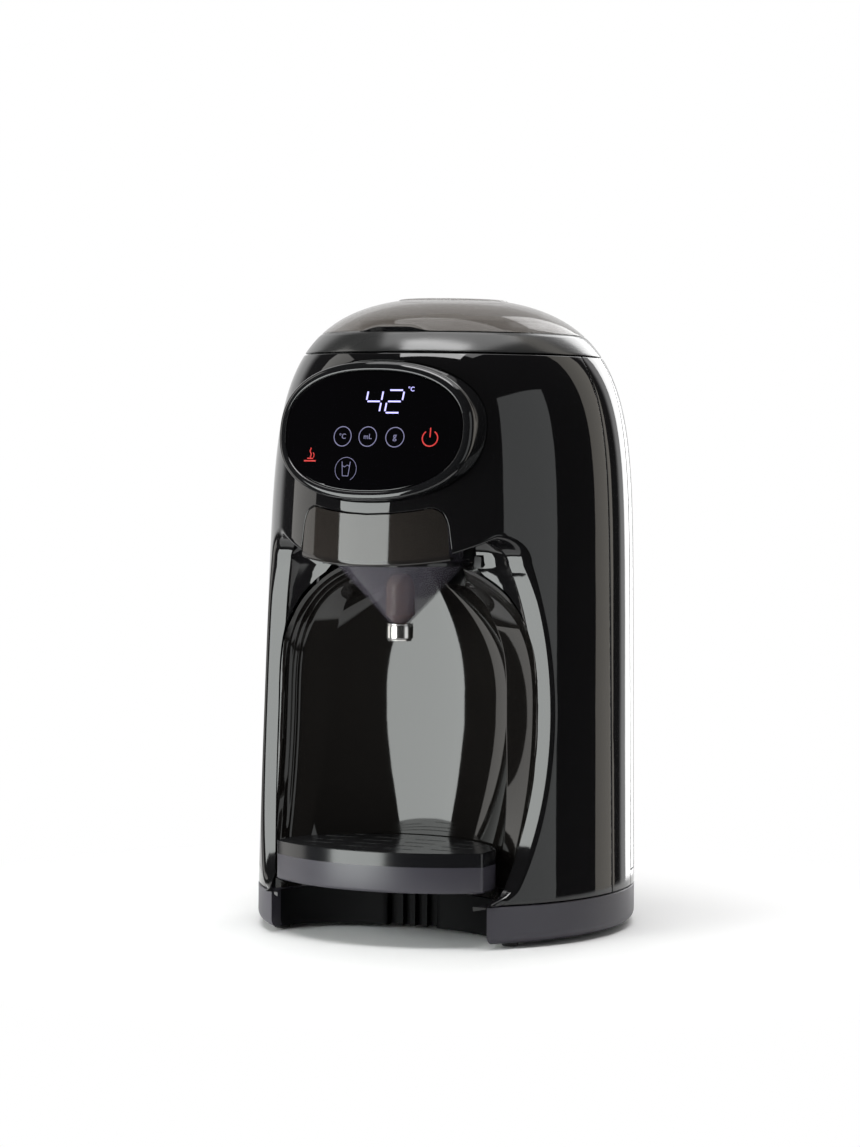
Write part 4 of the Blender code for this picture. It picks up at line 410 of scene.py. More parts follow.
def turned(profile, centre=(0.0, 0.0), steps=72, softness=0.0004, closed=False, egg=False):
    """A profile of (radius, height) spun round an upright axis; egg stretches it to the barrel's plan."""
    points = soften(profile, softness, 3, closed) if softness else [tuple(p) for p in profile]
    work = bmesh.new()
    chain = [work.verts.new((r, 0, z)) for r, z in points]
    edges = [work.edges.new(pair) for pair in zip(chain, chain[1:])]
    if closed:
        edges.append(work.edges.new((chain[-1], chain[0])))
    bmesh.ops.spin(work, geom=chain + edges, cent=(0, 0, 0), axis=(0, 0, 1), angle=2 * math.pi, steps=steps,
                   use_merge=True)
    bmesh.ops.remove_doubles(work, verts=work.verts, dist=1e-6)
    bmesh.ops.recalc_face_normals(work, faces=work.faces)
    for vertex in work.verts:
        if egg:
            vertex.co.y = vertex.co.y * HALF_DEPTH / HALF_WIDTH + lean(vertex.co.z)
        else:
            vertex.co.x += centre[0]
            vertex.co.y += centre[1]
    return work


def lay_along_y(work, centre):
    """Turn an upright spun shape to lie from front to rear."""
    bmesh.ops.rotate(work, verts=work.verts, cent=(0, 0, 0), matrix=Matrix.Rotation(math.radians(-90), 3, "X"))
    bmesh.ops.translate(work, verts=work.verts, vec=centre)
    return work


def slab(outline, low, high, lower_rim=0.0, upper_rim=0.0004, segments=3):
    """A plan outline raised between two heights, with its lower and upper rims rounded."""
    work = raised(outline, low, high)
    for level, rim, count in ((low, lower_rim, segments * 2), (high, upper_rim, segments)):
        if rim:
            edges = [e for e in work.edges if all(abs(v.co.z - level) < 1e-7 for v in e.verts)]
            round_edges(work, edges, rim, count, True)
    return work


def join_into(work, other):
    """Add a second shape to the first."""
    mesh = bpy.data.meshes.new("joint")
    other.to_mesh(mesh)
    other.free()
    work.from_mesh(mesh)
    bpy.data.meshes.remove(mesh)
    return work


def block(low, high, rim=0.0005):
    """A small block with rounded edges."""
    work = bmesh.new()
    bmesh.ops.create_cube(work, size=1)
    low, high = Vector(low), Vector(high)
    bmesh.ops.scale(work, verts=work.verts, vec=high - low)
    bmesh.ops.translate(work, verts=work.verts, vec=(low + high) / 2)
    round_edges(work, work.edges[:], rim, 2)
    return work


# ---------------------------------------------------------------- finishes

class Worked:
    """A socket that takes part in plain arithmetic: each expression adds its Math nodes."""

    def __init__(self, tree, socket):
        self.tree, self.socket = tree, socket

    def _math(self, operation, first, second):
        node = self.tree.nodes.new("ShaderNodeMath")
        node.operation = operation
        for slot, value in zip(node.inputs, (first, second)):
            if isinstance(value, Worked):
                self.tree.links.new(value.socket, slot)
            else:
                slot.default_value = value
        return Worked(self.tree, node.outputs[0])

    def __add__(self, other): return self._math("ADD", self, other)
    def __radd__(self, other): return self._math("ADD", other, self)
    def __sub__(self, other): return self._math("SUBTRACT", self, other)
    def __rsub__(self, other): return self._math("SUBTRACT", other, self)
    def __mul__(self, other): return self._math("MULTIPLY", self, other)
    def __rmul__(self, other): return self._math("MULTIPLY", other, self)
    def __truediv__(self, other): return self._math("DIVIDE", self, other)
    def __rtruediv__(self, other): return self._math("DIVIDE", other, self)
    def __pow__(self, other): return self._math("POWER", self, other)


class Finish:
    """A procedural finish under construction."""

    def __init__(self, name):
        self.material = bpy.data.materials.new(name)
        self.material.use_nodes = True
        self.tree = self.material.node_tree
        self.tree.nodes.clear()
        self.place = self.node("ShaderNodeTexCoord")["Object"]

    def node(self, kind, settings=None, **values):
        """Any node: its settings first, then its sockets' values or links. Returns its outputs by name."""
        node = self.tree.nodes.new(kind)
        for key, value in (settings or {}).items():
            if key == "stops":
                ramp = node.color_ramp
                while len(ramp.elements) < len(value):
                    ramp.elements.new(0.5)
                for element, (position, colour) in zip(ramp.elements, value):
                    element.position, element.color = position, colour
            else:
                setattr(node, key, value)
        for key, value in values.items():
            slot = node.inputs[int(key[1:])] if key[1:].isdigit() else node.inputs[key.replace("_", " ")]
            if isinstance(value, Worked):
                self.tree.links.new(value.socket, slot)
            else:
                slot.default_value = value
        return {output.name: Worked(self.tree, output) for output in node.outputs}

    def noise(self, scale, detail=3.0, roughness=0.5, stretch=None):
        place = self.place
        if stretch:
            place = self.node("ShaderNodeMapping", None, Vector=place, Scale=stretch)["Vector"]
        return self.node("ShaderNodeTexNoise", None, Vector=place, Scale=scale, Detail=detail,
                         Roughness=roughness)["Fac"]

    def soft_step(self, value, low, high):
        return self.node("ShaderNodeMapRange", {"interpolation_type": "SMOOTHSTEP"}, Value=value, From_Min=low,
                         From_Max=high, To_Min=0.0, To_Max=1.0)["Result"]

    def mix(self, factor, first, second):
        """Mix of two colours; each is a plain colour or a link."""
        node = self.tree.nodes.new("ShaderNodeMix")
        node.data_type = "RGBA"
        for slot, value in ((node.inputs[0], factor), (node.inputs[6], first), (node.inputs[7], second)):
            if isinstance(value, Worked):
                self.tree.links.new(value.socket, slot)
            else:
                slot.default_value = value if isinstance(value, (int, float)) else (*value, 1.0)
        return Worked(self.tree, node.outputs[2])

    def height(self):
        return self.node("ShaderNodeSeparateXYZ", None, _0=self.place)["Z"]

    def bump(self, value, depth, strength=1.0):
        return self.node("ShaderNodeBump", None, Height=value, Distance=depth, Strength=strength)["Normal"]

    def done(self, **values):
        shader = self.node("ShaderNodeBsdfPrincipled", None, **values)["BSDF"]
        self.node("ShaderNodeOutputMaterial", None, Surface=shader)
        return self.material


def piano_black(name, colour=(0.0042, 0.0040, 0.0044), shine=0.02, dusty=0.10):
    """Moulded gloss plastic: faint polishing haze, soft waviness and a little dust."""
    f = Finish(name)
    haze = f.noise(22.0, 4.0, 0.6)
    dust = f.soft_step(f.noise(900.0, 2.0, 0.7), 0.76, 0.84)
    tint = f.mix(haze, colour, tuple(c * 1.35 for c in colour))
    tint = f.mix(dust * dusty, tint, (0.05, 0.05, 0.052))
    rough = shine + haze * 0.03 + dust * dusty
    wave = f.noise(38.0, 2.0, 0.4)
    return f.done(Base_Color=tint, Roughness=rough, Normal=f.bump(wave, 0.00006), IOR=1.5)


def satin(name, colour, rough=0.36, grain=2600.0, depth=0.00003, shine=0.5):
    """Spark-eroded satin plastic: fine grain and slight mottling."""
    f = Finish(name)
    mottle = f.noise(34.0, 4.0, 0.55)
    pits = f.noise(grain, 2.0, 0.6)
    tint = f.mix(mottle, tuple(c * 0.86 for c in colour), tuple(c * 1.16 for c in colour))
    rough_map = rough + mottle * 0.08 + pits * 0.05
    return f.done(Base_Color=tint, Roughness=rough_map, Normal=f.bump(pits, depth), Specular_IOR_Level=shine)


def see_through(name, colour, cover, rough=0.05, cloud=0.08):
    """Tinted clear plastic: thin cover that thickens in faint clouds and flow lines."""
    f = Finish(name)
    flow = f.noise(30.0, 3.0, 0.5, stretch=(1.0, 1.0, 0.25))
    tint = f.mix(flow, tuple(c * 0.8 for c in colour), tuple(c * 1.2 for c in colour))
    ripple = f.noise(60.0, 2.0, 0.4)
    return f.done(Base_Color=tint, Roughness=rough + flow * 0.04, Alpha=cover - cloud / 2 + flow * cloud,
                  Normal=f.bump(ripple, 0.00002), IOR=1.5)


def metal(name, colour, rough=0.22, brushed=True):
    """Turned or drawn metal: fine rings round the axis, stain and wear in the shine."""
    f = Finish(name)
    lines = f.noise(60.0, 4.0, 0.65, stretch=(1.0, 1.0, 70.0) if brushed else None)
    stain = f.noise(40.0, 4.0, 0.6)
    tint = f.mix(stain, tuple(c * 0.88 for c in colour), colour)
    return f.done(Base_Color=tint, Metallic=1.0, Roughness=rough + lines * 0.16 + stain * 0.05,
                  Normal=f.bump(lines, 0.00002))


def glow(name, colour, strength):
    """A lit symbol, slightly uneven as printed light masks are."""
    f = Finish(name)
    uneven = f.noise(160.0, 2.0)
    light = f.mix(uneven, tuple(c * 0.9 for c in colour), colour)
    return f.done(Base_Color=(0.01, 0.01, 0.01, 1.0), Emission_Color=light, Emission_Strength=strength,
                  Roughness=0.4)


def tray_finish():
    """Satin front with a glossier, darker band along its top."""
    f = Finish("tray_satin")
    height = f.height()
    band = f.soft_step(height, 0.0438, 0.0444)
    mottle = f.noise(34.0, 4.0, 0.55)
    pits = f.noise(2600.0, 2.0, 0.6)
    satin_tint = f.mix(mottle, (0.030, 0.028, 0.037), (0.042, 0.039, 0.050))
    tint = f.mix(band, satin_tint, (0.006, 0.006, 0.007))
    rough = 0.34 + mottle * 0.08 - band * 0.20
    return f.done(Base_Color=tint, Roughness=rough, Normal=f.bump(pits * (1 - band), 0.00003))


gloss_black = piano_black("gloss_black")
inner_gloss = piano_black("bay_gloss", (0.0050, 0.0044, 0.0040), 0.03, 0.04)
ring_gloss = piano_black("ring_gloss", (0.0060, 0.0060, 0.0066), 0.04)
lip_black = piano_black("lip_black", (0.0100, 0.0088, 0.0084), 0.06, 0.04)
glass_black = piano_black("black_glass", (0.0006, 0.0005, 0.0008), 0.01, 0.02)
satin_grey = satin("satin_grey", (0.036, 0.033, 0.044))
# Painted shade: a near-black, barely reflecting satin that stands in for the shade inside the recessed notch
notch_painted_shade = satin("notch_painted_shade", (0.004, 0.004, 0.0045), 0.48, shine=0.08)
collar_grey = satin("collar_satin", (0.024, 0.024, 0.024), 0.12, 2600.0, 0.00001)
dark_plastic = satin("dark_plastic", (0.020, 0.020, 0.022), 0.42)
black_grille = satin("grille_black", (0.012, 0.012, 0.013), 0.20)
white_plastic = satin("white_plastic", (0.50, 0.48, 0.45), 0.40, 600.0, 0.00001)
rubber = satin("rubber", (0.022, 0.021, 0.021), 0.78, 1500.0, 0.00008)
board_green = satin("board_green", (0.012, 0.085, 0.040), 0.35, 700.0, 0.00005)
smoked_lid = see_through("smoked_lid", (0.115, 0.098, 0.084), 0.56)
smoked_plate = see_through("smoked_plate", (0.020, 0.017, 0.015), 0.93, 0.03, 0.04)
tank_clear = see_through("tank_smoke", (0.055, 0.055, 0.062), 0.72)
funnel_clear = see_through("funnel_clear", (0.085, 0.078, 0.098), 0.34, 0.05)
amber = see_through("amber", (0.16, 0.085, 0.05), 0.88, 0.20)
steel = metal("steel", (0.50, 0.49, 0.47), 0.26)
chrome = metal("chrome", (0.62, 0.61, 0.60), 0.10)
blue_light = glow("blue_white_light", (0.50, 0.48, 1.0), 1.9)
ring_light = glow("violet_white_light", (0.36, 0.35, 0.62), 0.6)
red_light = glow("red_light", (1.0, 0.04, 0.035), 0.75)
tray_satin = tray_finish()

# ---------------------------------------------------------------- front casing

def recess(distance):
    """How deep the opening's surround lies below its face, at a distance inwards from the skin's edge."""
    beyond = distance - FACE_WIDTH
    if beyond <= 0:
        return 0.0
    return min(0.0056, 0.0022 * min(1.0, beyond / 0.0012) + 0.34 * max(0.0, beyond - 0.0012))


def bead(z):
    """Size of the opening's rolled edge: slim on the legs, fuller along the lip."""
    return 0.0024 + 0.0020 * min(1.0, max(0.0, (z - 0.185) / 0.026))


def opening():
    """The opening's edge on the skin: for each level of the side view, (x on the skin, inner x, y, z)."""
    rows = []
    for y, z in side_curve():
        outer = skin_x(z, y)
        inner = bay_half(z, BAND, WALL) if z < BAY_TOP + BAND - 0.0002 else 0.0
        if z > 0.195:
            inner = max(inner, 0.0443)
        rows.append((max(outer, inner + 0.00002), min(inner, outer), y, z))
    return [row for row in rows if row[0] > 0.0447]


def plate_outline(grown=0.0):
    """Front view of the drawer front's right half, as (x, z) from its foot up and to the middle."""
    side = [(0.0434 + grown, 0.2010), (0.0440 + grown, 0.2075), (0.0425 + grown, 0.2265)]
    corner = [(0.0398 + grown * 0.8, 0.2328 + grown * 0.6), (0.0350 + grown * 0.3, 0.2352 + grown)]
    top = [(0.026, 0.2333 + grown), (0.013, 0.2318 + grown), (0.0, 0.2312 + grown)]
    return soften(side + corner + top, 0.004, 5)


def front_skin():
    edge = opening()
    flat = [Vector((across(x, z), z)) for x, inner, y, z in edge]
    pulled = []
    for i, here in enumerate(flat):
        tangent = flat[min(i + 1, len(flat) - 1)] - flat[max(i - 1, 0)]
        side = Vector((tangent.y, -tangent.x)).normalized()
        pulled.append(here + side * bead(here.y))
    low, high = BASE_TOP + SEAM / 2, COLLAR_LOW - SEAM / 2
    pulled = [p for p in pulled if p.y > low + 0.0004]
    seam_y = SEAM_Y - SEAM / 2
    outline = [(0.0, high)] + [(round_to(seam_y, z), z) for z in spaced(high, low, 24)]
    outline.append((pulled[0].x, low))
    outline += [tuple(p) for p in pulled]
    window = [(across(x, z), z) for x, z in plate_outline(0.0005) if z > pulled[-1].y + 0.0015]
    outline += window
    pod = [(across(x, z), z) for x, z in pod_outline(0.0059, 48, -math.pi / 2, math.pi / 2)]
    pod[0], pod[-1] = (0.0, pod[0][1]), (0.0, pod[-1][1])
    outline += pod

    def on_leg(u, z):
        best = min((Vector((u, z)) - (a + b) / 2).length for a, b in zip(pulled, pulled[1:]))
        return best < 0.0003

    skin = plate(outline, barrel, rim=0.0007, plain=on_leg)
    settle("front_shell", skin[0], "machine", gloss_black, ("front_shell",),
           corner_normals=skin[1])
    rows = []
    for index, ((outer, inner, y, z), u) in enumerate(zip(edge, flat)):
        if outer - inner < 0.0004 and z < 0.05:
            continue
        tangent = flat[min(index + 1, len(flat) - 1)] - flat[max(index - 1, 0)]
        side = Vector((tangent.y, -tangent.x)).normalized()
        on_skin = u + side * bead(z)
        first = barrel(on_skin.x, max(low, on_skin.y), 0)
        corner = Vector((outer, y, z))
        width = outer - inner
        after, before = min(index + 1, len(edge) - 1), max(index - 1, 0)
        along = Vector((edge[after][0] - edge[before][0], edge[after][2] - edge[before][2],
                        edge[after][3] - edge[before][3]))
        back = Vector((0, along.z, -along.y)).normalized()
        inwards = along.cross(back).normalized()
        reach = bead(z) if z > 0.1 else min(bead(z), width * 0.7)
        shift = Vector((0, inwards.y, inwards.z)) * reach
        last = corner + inwards * reach
        row = bend(first, corner, last, 10)
        for point in row:
            point.x = max(point.x, inner)
        last.x = max(last.x, inner)
        face_end = min(last.x, max(inner, outer - FACE_WIDTH))
        for j in range(1, 4):
            row.append(last.lerp(Vector((face_end, y, z)) + shift, j / 3))
        for j in range(1, 9):
            x = face_end + (inner - face_end) * (j / 8) ** 1.6
            row.append(Vector((x, y, z)) + shift + back * recess(outer - x))
        row.append(row[-1] + back * 0.0025)
        rows.append(row)
    surround = loft(rows, mirrored=True, toward=(0, -0.6, 0.12))
    settle("bay_surround", surround, "machine", gloss_black, (), sharp=50)


front_skin()

# ---------------------------------------------------------------- drawer front, carrier, funnel, insert, nozzle

def drawer():
    half = [(across(x, z), z) for x, z in plate_outline(0.0)]
    lip, rows = [], []
    back = Vector((0, 1, LIP_SLOPE)).normalized()
    for x in spaced(0, 0.0440, 24):
        z = LIP_Z + LIP_SLOPE * (skin_y(BAY_TOP, x) - skin_y(BAY_TOP)) + 0.0004
        corner = Vector((x, skin_y(z, x), z))
        roll = bead(z)
        lip.append((across(x, z + roll), z + roll))
        first, last = barrel(*lip[-1], 0), corner + back * roll
        row = bend(first, corner, last, 10)
        row += [corner + back * reach for reach in (0.0040, 0.0060)]
        row.append(row[-1] + Vector((0, 0, 0.0012)))
        rows.append(row)
    outline = lip[:-1] + [p for p in half if p[1] > lip[-1][1]]

    def on_lip(u, v):
        middles = [(Vector(a) + Vector(b)) / 2 for a, b in zip(lip, lip[1:])]
        return v < 0.2140 and u < 0.0475 and min((Vector((u, v)) - m).length for m in middles) < 0.0004

    front = plate(outline, barrel, thickness=0.0024, rim=0.0011, segments=4, step=0.003, plain=on_lip)
    settle("drawer_lip", loft(rows, mirrored=True, toward=(0, -0.6, -0.3)), "drawer_body", lip_black, (),
           sharp=60)
    settle("drawer_front", front[0], "drawer_body", smoked_plate, ("funnel_drawer",),
           corner_normals=front[1])
    ring = [(0.0353, 0.2036), (0.0398, 0.2036), (0.0398, 0.2058), (0.0353, 0.2058)]
    carrier = turned(ring, (0, FUNNEL_Y), closed=True)
    join_into(carrier, block((-0.0195, -0.1060, 0.2034), (0.0195, -0.1025, 0.2058)))
    join_into(carrier, block((-0.0102, -0.1066, 0.2044), (0.0102, -0.1040, 0.2133)))
    settle("funnel_carrier", carrier, "drawer_body", ring_gloss, ())
    outside = [(0.035, 0.2268), (0.035, 0.2076), (0.038, 0.2076), (0.038, 0.2061), (0.035, 0.2061),
               (0.035, 0.2031), (0.0056, 0.1716), (0.0056, 0.1631)]
    inside = [(0.0041, 0.1631), (0.0041, 0.1716), (0.0335, 0.2031), (0.0335, 0.2268)]
    funnel = turned(outside + inside, (0, FUNNEL_Y), 96, 0.0005, True)
    settle("mixing_funnel", funnel, "drawer_body", funnel_clear, ("mixing_funnel",))
    nose = [(0.0024 + 0.0058 * math.cos(math.radians(a)), 0.1905 + 0.0082 * math.sin(math.radians(a)))
            for a in range(90, -1, -10)]
    insert = turned(nose + [(0.0082, 0.1761), (0.0038, 0.1716), (0.0038, 0.1674), (0.0024, 0.1674)],
                    (0, FUNNEL_Y), 64, 0.0003, True)
    settle("mixing_insert", insert, "drawer_body", amber, ("mixing_insert",))
    sleeve = [(0.0059, 0.1618), (0.0064, 0.1618), (0.0067, 0.1628), (0.0073, 0.1634), (0.0073, 0.1700),
              (0.0069, 0.1706), (0.0073, 0.1708), (0.0073, 0.1713), (0.0059, 0.1713)]
    settle("outlet_nozzle", turned(sleeve, (0, FUNNEL_Y), 64, 0.0002, True), "drawer_body", chrome,
           ("outlet_nozzle",))


drawer()

# ---------------------------------------------------------------- bay lining

def lining():
    rise = [math.sin(angle) ** CORNER_POWER for angle in spaced(0, math.pi / 2, 40)[1:]]
    levels = spaced(LINING_LOW, BAY_WIDEST, 46) + [BAY_WIDEST + (BAY_TOP - BAY_WIDEST) * part for part in rise]
    steps_in = (0.0087, 0.0084, 0.0070, 0.0066, 0.0063, 0.0048, 0.0044, 0.0041, 0.0026, 0.0022, 0.0019, 0.0008, 0.0)
    rows = []
    for i, z in enumerate(levels):
        half = bay_half(z)
        below, above = levels[max(0, i - 1)], levels[min(len(levels) - 1, i + 1)]
        tangent = Vector((bay_half(above) - bay_half(below), above - below)).normalized()
        side = Vector((tangent.y, -tangent.x))
        middle, depth, wide = bay_ellipse(z, half)
        row = []
        for reach in steps_in:
            place = Vector((half, z)) + side * reach
            level = min(place.y, 0.209)
            front = leg_face_y(level)
            distance = skin_x(level, front) - place.x
            inwards = 1 - reach / steps_in[0]
            ledge = 0.0011 * sum(reach < edge for edge in (0.0065, 0.0043, 0.0021))
            sunk = recess(distance) + 0.0012 + 0.0042 * inwards ** 1.4 + ledge * 0.8
            row.append(Vector((place.x, max(front, -0.0729) + sunk, place.y)))
        start = math.asin(min(0.97, max(0.0, (row[-1].y - middle) / depth)))
        for angle in spaced(start + 0.03, math.pi / 2, 40)[1:]:
            row.append(Vector((wide * math.cos(angle), middle + depth * math.sin(angle), z)))
        rows.append(row)
    work = loft(rows, mirrored=True, toward=(0, -0.5, 0.12))
    slot, slot_low = 0.0355, 0.1695      # the slot that the funnel slides through

    def in_slot(p):
        if p.z < slot_low:
            return False
        return math.hypot(p.x, p.y - FUNNEL_Y) < slot or (abs(p.x) < slot and p.y < FUNNEL_Y)

    gone = [f for f in work.faces if in_slot(f.calc_center_median())]
    bmesh.ops.delete(work, geom=gone, context="FACES")
    for vertex in work.verts:
        if vertex.is_boundary and vertex.co.z > slot_low:
            offset = Vector((vertex.co.x, vertex.co.y - FUNNEL_Y))
            if offset.y >= 0 and abs(offset.length - slot) < 0.004:
                offset = offset.normalized() * slot
                vertex.co.x, vertex.co.y = offset.x, offset.y + FUNNEL_Y
            elif offset.y < 0 and abs(abs(offset.x) - slot) < 0.004:
                vertex.co.x = math.copysign(slot, offset.x)
    bmesh.ops.dissolve_degenerate(work, edges=work.edges, dist=1e-5)
    join_into(work, lining_floor())
    settle("bay_liner", work, "machine", inner_gloss, ("bay_liner",), sharp=50)


def notch_arc(grown=0.0, steps=48):
    """Plan of the notch, from side to side."""
    corner_y = skin_y(BASE_TOP, NOTCH_HALF)
    depth = NOTCH_REAR_Y + grown - corner_y
    return [((NOTCH_HALF + grown) * math.cos(angle), corner_y + depth * math.sin(angle) ** NOTCH_POWER)
            for angle in spaced(0, math.pi, steps)]


def lining_floor():
    """Flat floor of the lining under the tray, open in front where the notch is."""
    arc = [p for p in notch_arc(GAP) if p[1] > -0.0800]
    middle, depth, wide = bay_ellipse(0.0236, bay_half(0.0236, WALL, WALL))
    outline = arc + rear_arc(math.asin(0.355), wide, depth + WALL, 32, middle)[::-1]
    return slab(outline, BASE_TOP + SEAM / 2, LINING_LOW, 0.0, 0.0004)


lining()

# ---------------------------------------------------------------- base

def base():
    """Skirt and deck of the base: a rounded lower edge, cut in front by the arched notch with its recess, whose inner
    faces carry painted shade.
    """
    edge = 0.0055
    profile = [(BASE_TOP - SEAM / 2, 0.0004), (BASE_TOP - SEAM / 2 - 0.0004, 0.0)]
    profile += [(z, 0.0) for z in (0.019, 0.015, 0.011, 0.008)]
    for angle in spaced(0, math.radians(78), 10)[1:]:
        profile.append((0.008 - edge * math.sin(angle), edge * (1 - math.cos(angle))))
    profile += [(BASE_LOW, 0.0056), (BASE_LOW, 0.0064), (0.0180, 0.0066)]
    full_depth = NOTCH_REAR_Y - skin_y(BASE_TOP, NOTCH_HALF)
    rows = []
    for z, inset in profile:
        half, deep = HALF_WIDTH - inset, HALF_DEPTH - inset
        start = math.asin(NOTCH_HALF / half)
        row = [Vector((half * math.sin(angle), -deep * math.cos(angle), z))
               for angle in spaced(start, 2 * math.pi - start, 160)]
        corner_y = row[0].y
        part = max(0.0, (corner_y - skin_y(BASE_TOP, NOTCH_HALF)) / full_depth)
        first = math.asin(min(1.0, part ** (1 / NOTCH_POWER)))
        last = math.acos(0.0155 / NOTCH_HALF)
        side = [(NOTCH_HALF * math.cos(angle), NOTCH_REAR_Y - full_depth * (1 - math.sin(angle) ** NOTCH_POWER))
                for angle in spaced(first, last, 30)[1:]]
        side += [(0.0150, side[-1][1] + 0.0005), (0.0150, -0.0300), (0.0145, -0.0295), (0.0, -0.0295)]
        row += [Vector((-x, y, z)) for x, y in side]
        row += [Vector((x, y, z)) for x, y in reversed(side[:-1])]
        row.append(row[0].copy())
        rows.append(row)
    work = loft(rows, closed=True)
    # The notch's inner faces take the second finish, painted shade for the recess
    for face in work.faces:
        middle = face.calc_center_median()
        if (middle.x / HALF_WIDTH) ** 2 + (middle.y / HALF_DEPTH) ** 2 < 0.86 and middle.z < 0.0229:
            face.material_index = 1
    settle("base_housing", work, "machine", [satin_grey, notch_painted_shade], ("base_housing",), sharp=40)


base()

for name in ("front_left", "front_right", "rear_left", "rear_right"):
    low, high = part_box("foot_" + name)
    centre = ((low.x + high.x) / 2, (low.y + high.y) / 2 + MIDDLE_Y)
    pad = turned([(0, 0.0), (0.0038, 0.0), (0.0045, 0.0008), (0.0045, 0.0025), (0, 0.0025)], centre, 40, 0.0005)
    join_into(pad, turned([(0, 0.0024), (0.0022, 0.0024), (0.0022, high.z), (0, high.z)], centre, 24, 0.0002))
    settle("rubber_foot_" + name, pad, "machine", rubber, ("foot_" + name,))

# ---------------------------------------------------------------- display

def display():
    profile = [(0.0056, 0.0230), (0.0056, 0.0050), (0.0054, 0.0026), (0.0046, 0.0010), (0.0034, 0.0002), (0.0022, 0.0),
               (0.0012, 0.0001), (0.0006, 0.0006), (0.0003, 0.0014), (0.0003, 0.0030), (-0.0028, 0.0031),
               (-0.0028, 0.0225)]
    profile = soften(profile, 0.0012, 3)
    count = 160
    rings = [pod_outline(grown, count) for grown, back in profile]
    rows = []
    for k in range(count + 1):
        row = []
        for (grown, back), ring in zip(profile, rings):
            x, z = ring[k]
            y = POD_Y + POD_TILT * (z - DISPLAY_Z) + x * x / (2 * POD_BOW) + back
            row.append(Vector((x, y, z)))
        rows.append(row)
    ring = loft(rows, toward=(0, -1.0, 0.27))
    settle("display_ring", ring, "machine", ring_gloss, ("display_ring",), sharp=60)
    outline = pod_outline(0.0, 128)[:-1]
    glass = plate(outline, lambda x, z, h: pod_face(x, z, h - 0.0009), 0.0018, 0.0004, 2, 0.004, halves=False)
    settle("display_glass", glass[0], "machine", glass_black, ("display_glass",),
           corner_normals=glass[1])


display()


def stroke(points, width=0.00032, loop=False):
    """A lit line on the glass, from points in millimetres from the display's middle."""
    curve = bpy.data.curves.new("stroke", "CURVE")
    curve.dimensions = "3D"
    curve.bevel_depth = width
    curve.bevel_resolution = 1
    curve.use_fill_caps = True
    line = curve.splines.new("POLY")
    line.points.add(len(points) - 1)
    for point, (x, z) in zip(line.points, points):
        point.co = (x / 1000, z / 1000, 0, 1)
    line.use_cyclic_u = loop
    holder = bpy.data.objects.new("stroke", curve)
    mesh = bpy.data.meshes.new_from_object(holder)
    bpy.data.objects.remove(holder)
    return mesh


def word(text, centre, size, bold=0.0):
    """Text as a flat mesh with a little depth, centred in millimetres from the display's middle."""
    curve = bpy.data.curves.new("word", "FONT")
    curve.body = text
    curve.size = size / 1000
    curve.align_x = "CENTER"
    curve.align_y = "CENTER"
    curve.extrude = 0.00012
    curve.offset = bold
    holder = bpy.data.objects.new("word", curve)
    mesh = bpy.data.meshes.new_from_object(holder)
    bpy.data.objects.remove(holder)
    mesh.transform(Matrix.Translation((centre[0] / 1000, centre[1] / 1000, 0)))
    return mesh


def circle(centre, radius, start=0, end=360, steps=40):
    points = [(centre[0] + radius * math.cos(math.radians(a)), centre[1] + radius * math.sin(math.radians(a)))
              for a in spaced(start, end, steps)]
    return points[:-1] if end - start == 360 else points


def symbols(name, meshes, finish):
    work = bmesh.new()
    for mesh in meshes:
        work.from_mesh(mesh)
        bpy.data.meshes.remove(mesh)
    bmesh.ops.remove_doubles(work, verts=work.verts, dist=1e-7)
    for vertex in work.verts:
        x, z, h = vertex.co
        vertex.co = pod_face(x, z + DISPLAY_Z, h - 0.00095)
    settle(name, work, "machine", finish, ())


SEGMENTS = {"4": "fgbc", "2": "abged"}


def digit(kind, centre, half_width=4.4, half_height=6.0):
    """A seven-segment digit as lit bars."""
    cx, cz = centre
    left, right, top, low = cx - half_width, cx + half_width, cz + half_height, cz - half_height
    bars = {"a": ((left + .8, top), (right - .8, top)), "g": ((left + .8, cz), (right - .8, cz)),
            "d": ((left + .8, low), (right - .8, low)), "f": ((left, top - .8), (left, cz + .8)),
            "b": ((right, top - .8), (right, cz + .8)), "e": ((left, cz - .8), (left, low + .8)),
            "c": ((right, cz - .8), (right, low + .8))}
    slant = 0.13
    return [stroke([(x + slant * (z - cz), z) for x, z in bars[key]], 0.00046) for key in SEGMENTS[kind]]


symbols("lit_digits", digit("4", (1.3, 15.9)) + digit("2", (13.3, 15.9))
        + [word("°C", (22.4, 22.4), 3.4)], blue_light)
symbols("lit_units",
        [stroke(circle((-15.7, -2.9), 5.2), 0.00026, True), stroke(circle((-0.6, -2.9), 5.2), 0.00026, True),
         stroke(circle((15.2, -3.1), 5.2), 0.00026, True), word("°C", (-15.7, -3.0), 3.9),
         word("mL", (-0.6, -3.0), 3.9), word("g", (15.2, -2.6), 5.0),
         stroke([(-14.7, -16.4), (-13.9, -24.0), (-10.5, -24.0), (-9.7, -16.4)], 0.00024),
         stroke([(-14.4, -18.6), (-12.9, -19.2), (-11.5, -18.2), (-10.0, -18.8)], 0.0002),
         stroke(circle((-12.2, -20.5), 6.4, -60, 240), 0.00016)], ring_light)
symbols("lit_warnings",
        [stroke(circle((34.9, -3.5), 4.2, 125, 415), 0.00036), stroke([(34.9, 2.0), (34.9, -3.0)], 0.00036),
         stroke([(-38.6, -16.2), (-31.2, -16.2)], 0.00042), stroke([(-36.6, -14.9), (-33.0, -14.9)], 0.00036),
         stroke([(-34.8, -14.6), (-34.3, -12.6), (-35.3, -11.0), (-34.6, -9.2)], 0.00034),
         stroke([(-32.8, -14.4), (-32.4, -12.9), (-33.2, -11.8)], 0.00028)], red_light)

# ---------------------------------------------------------------- tray

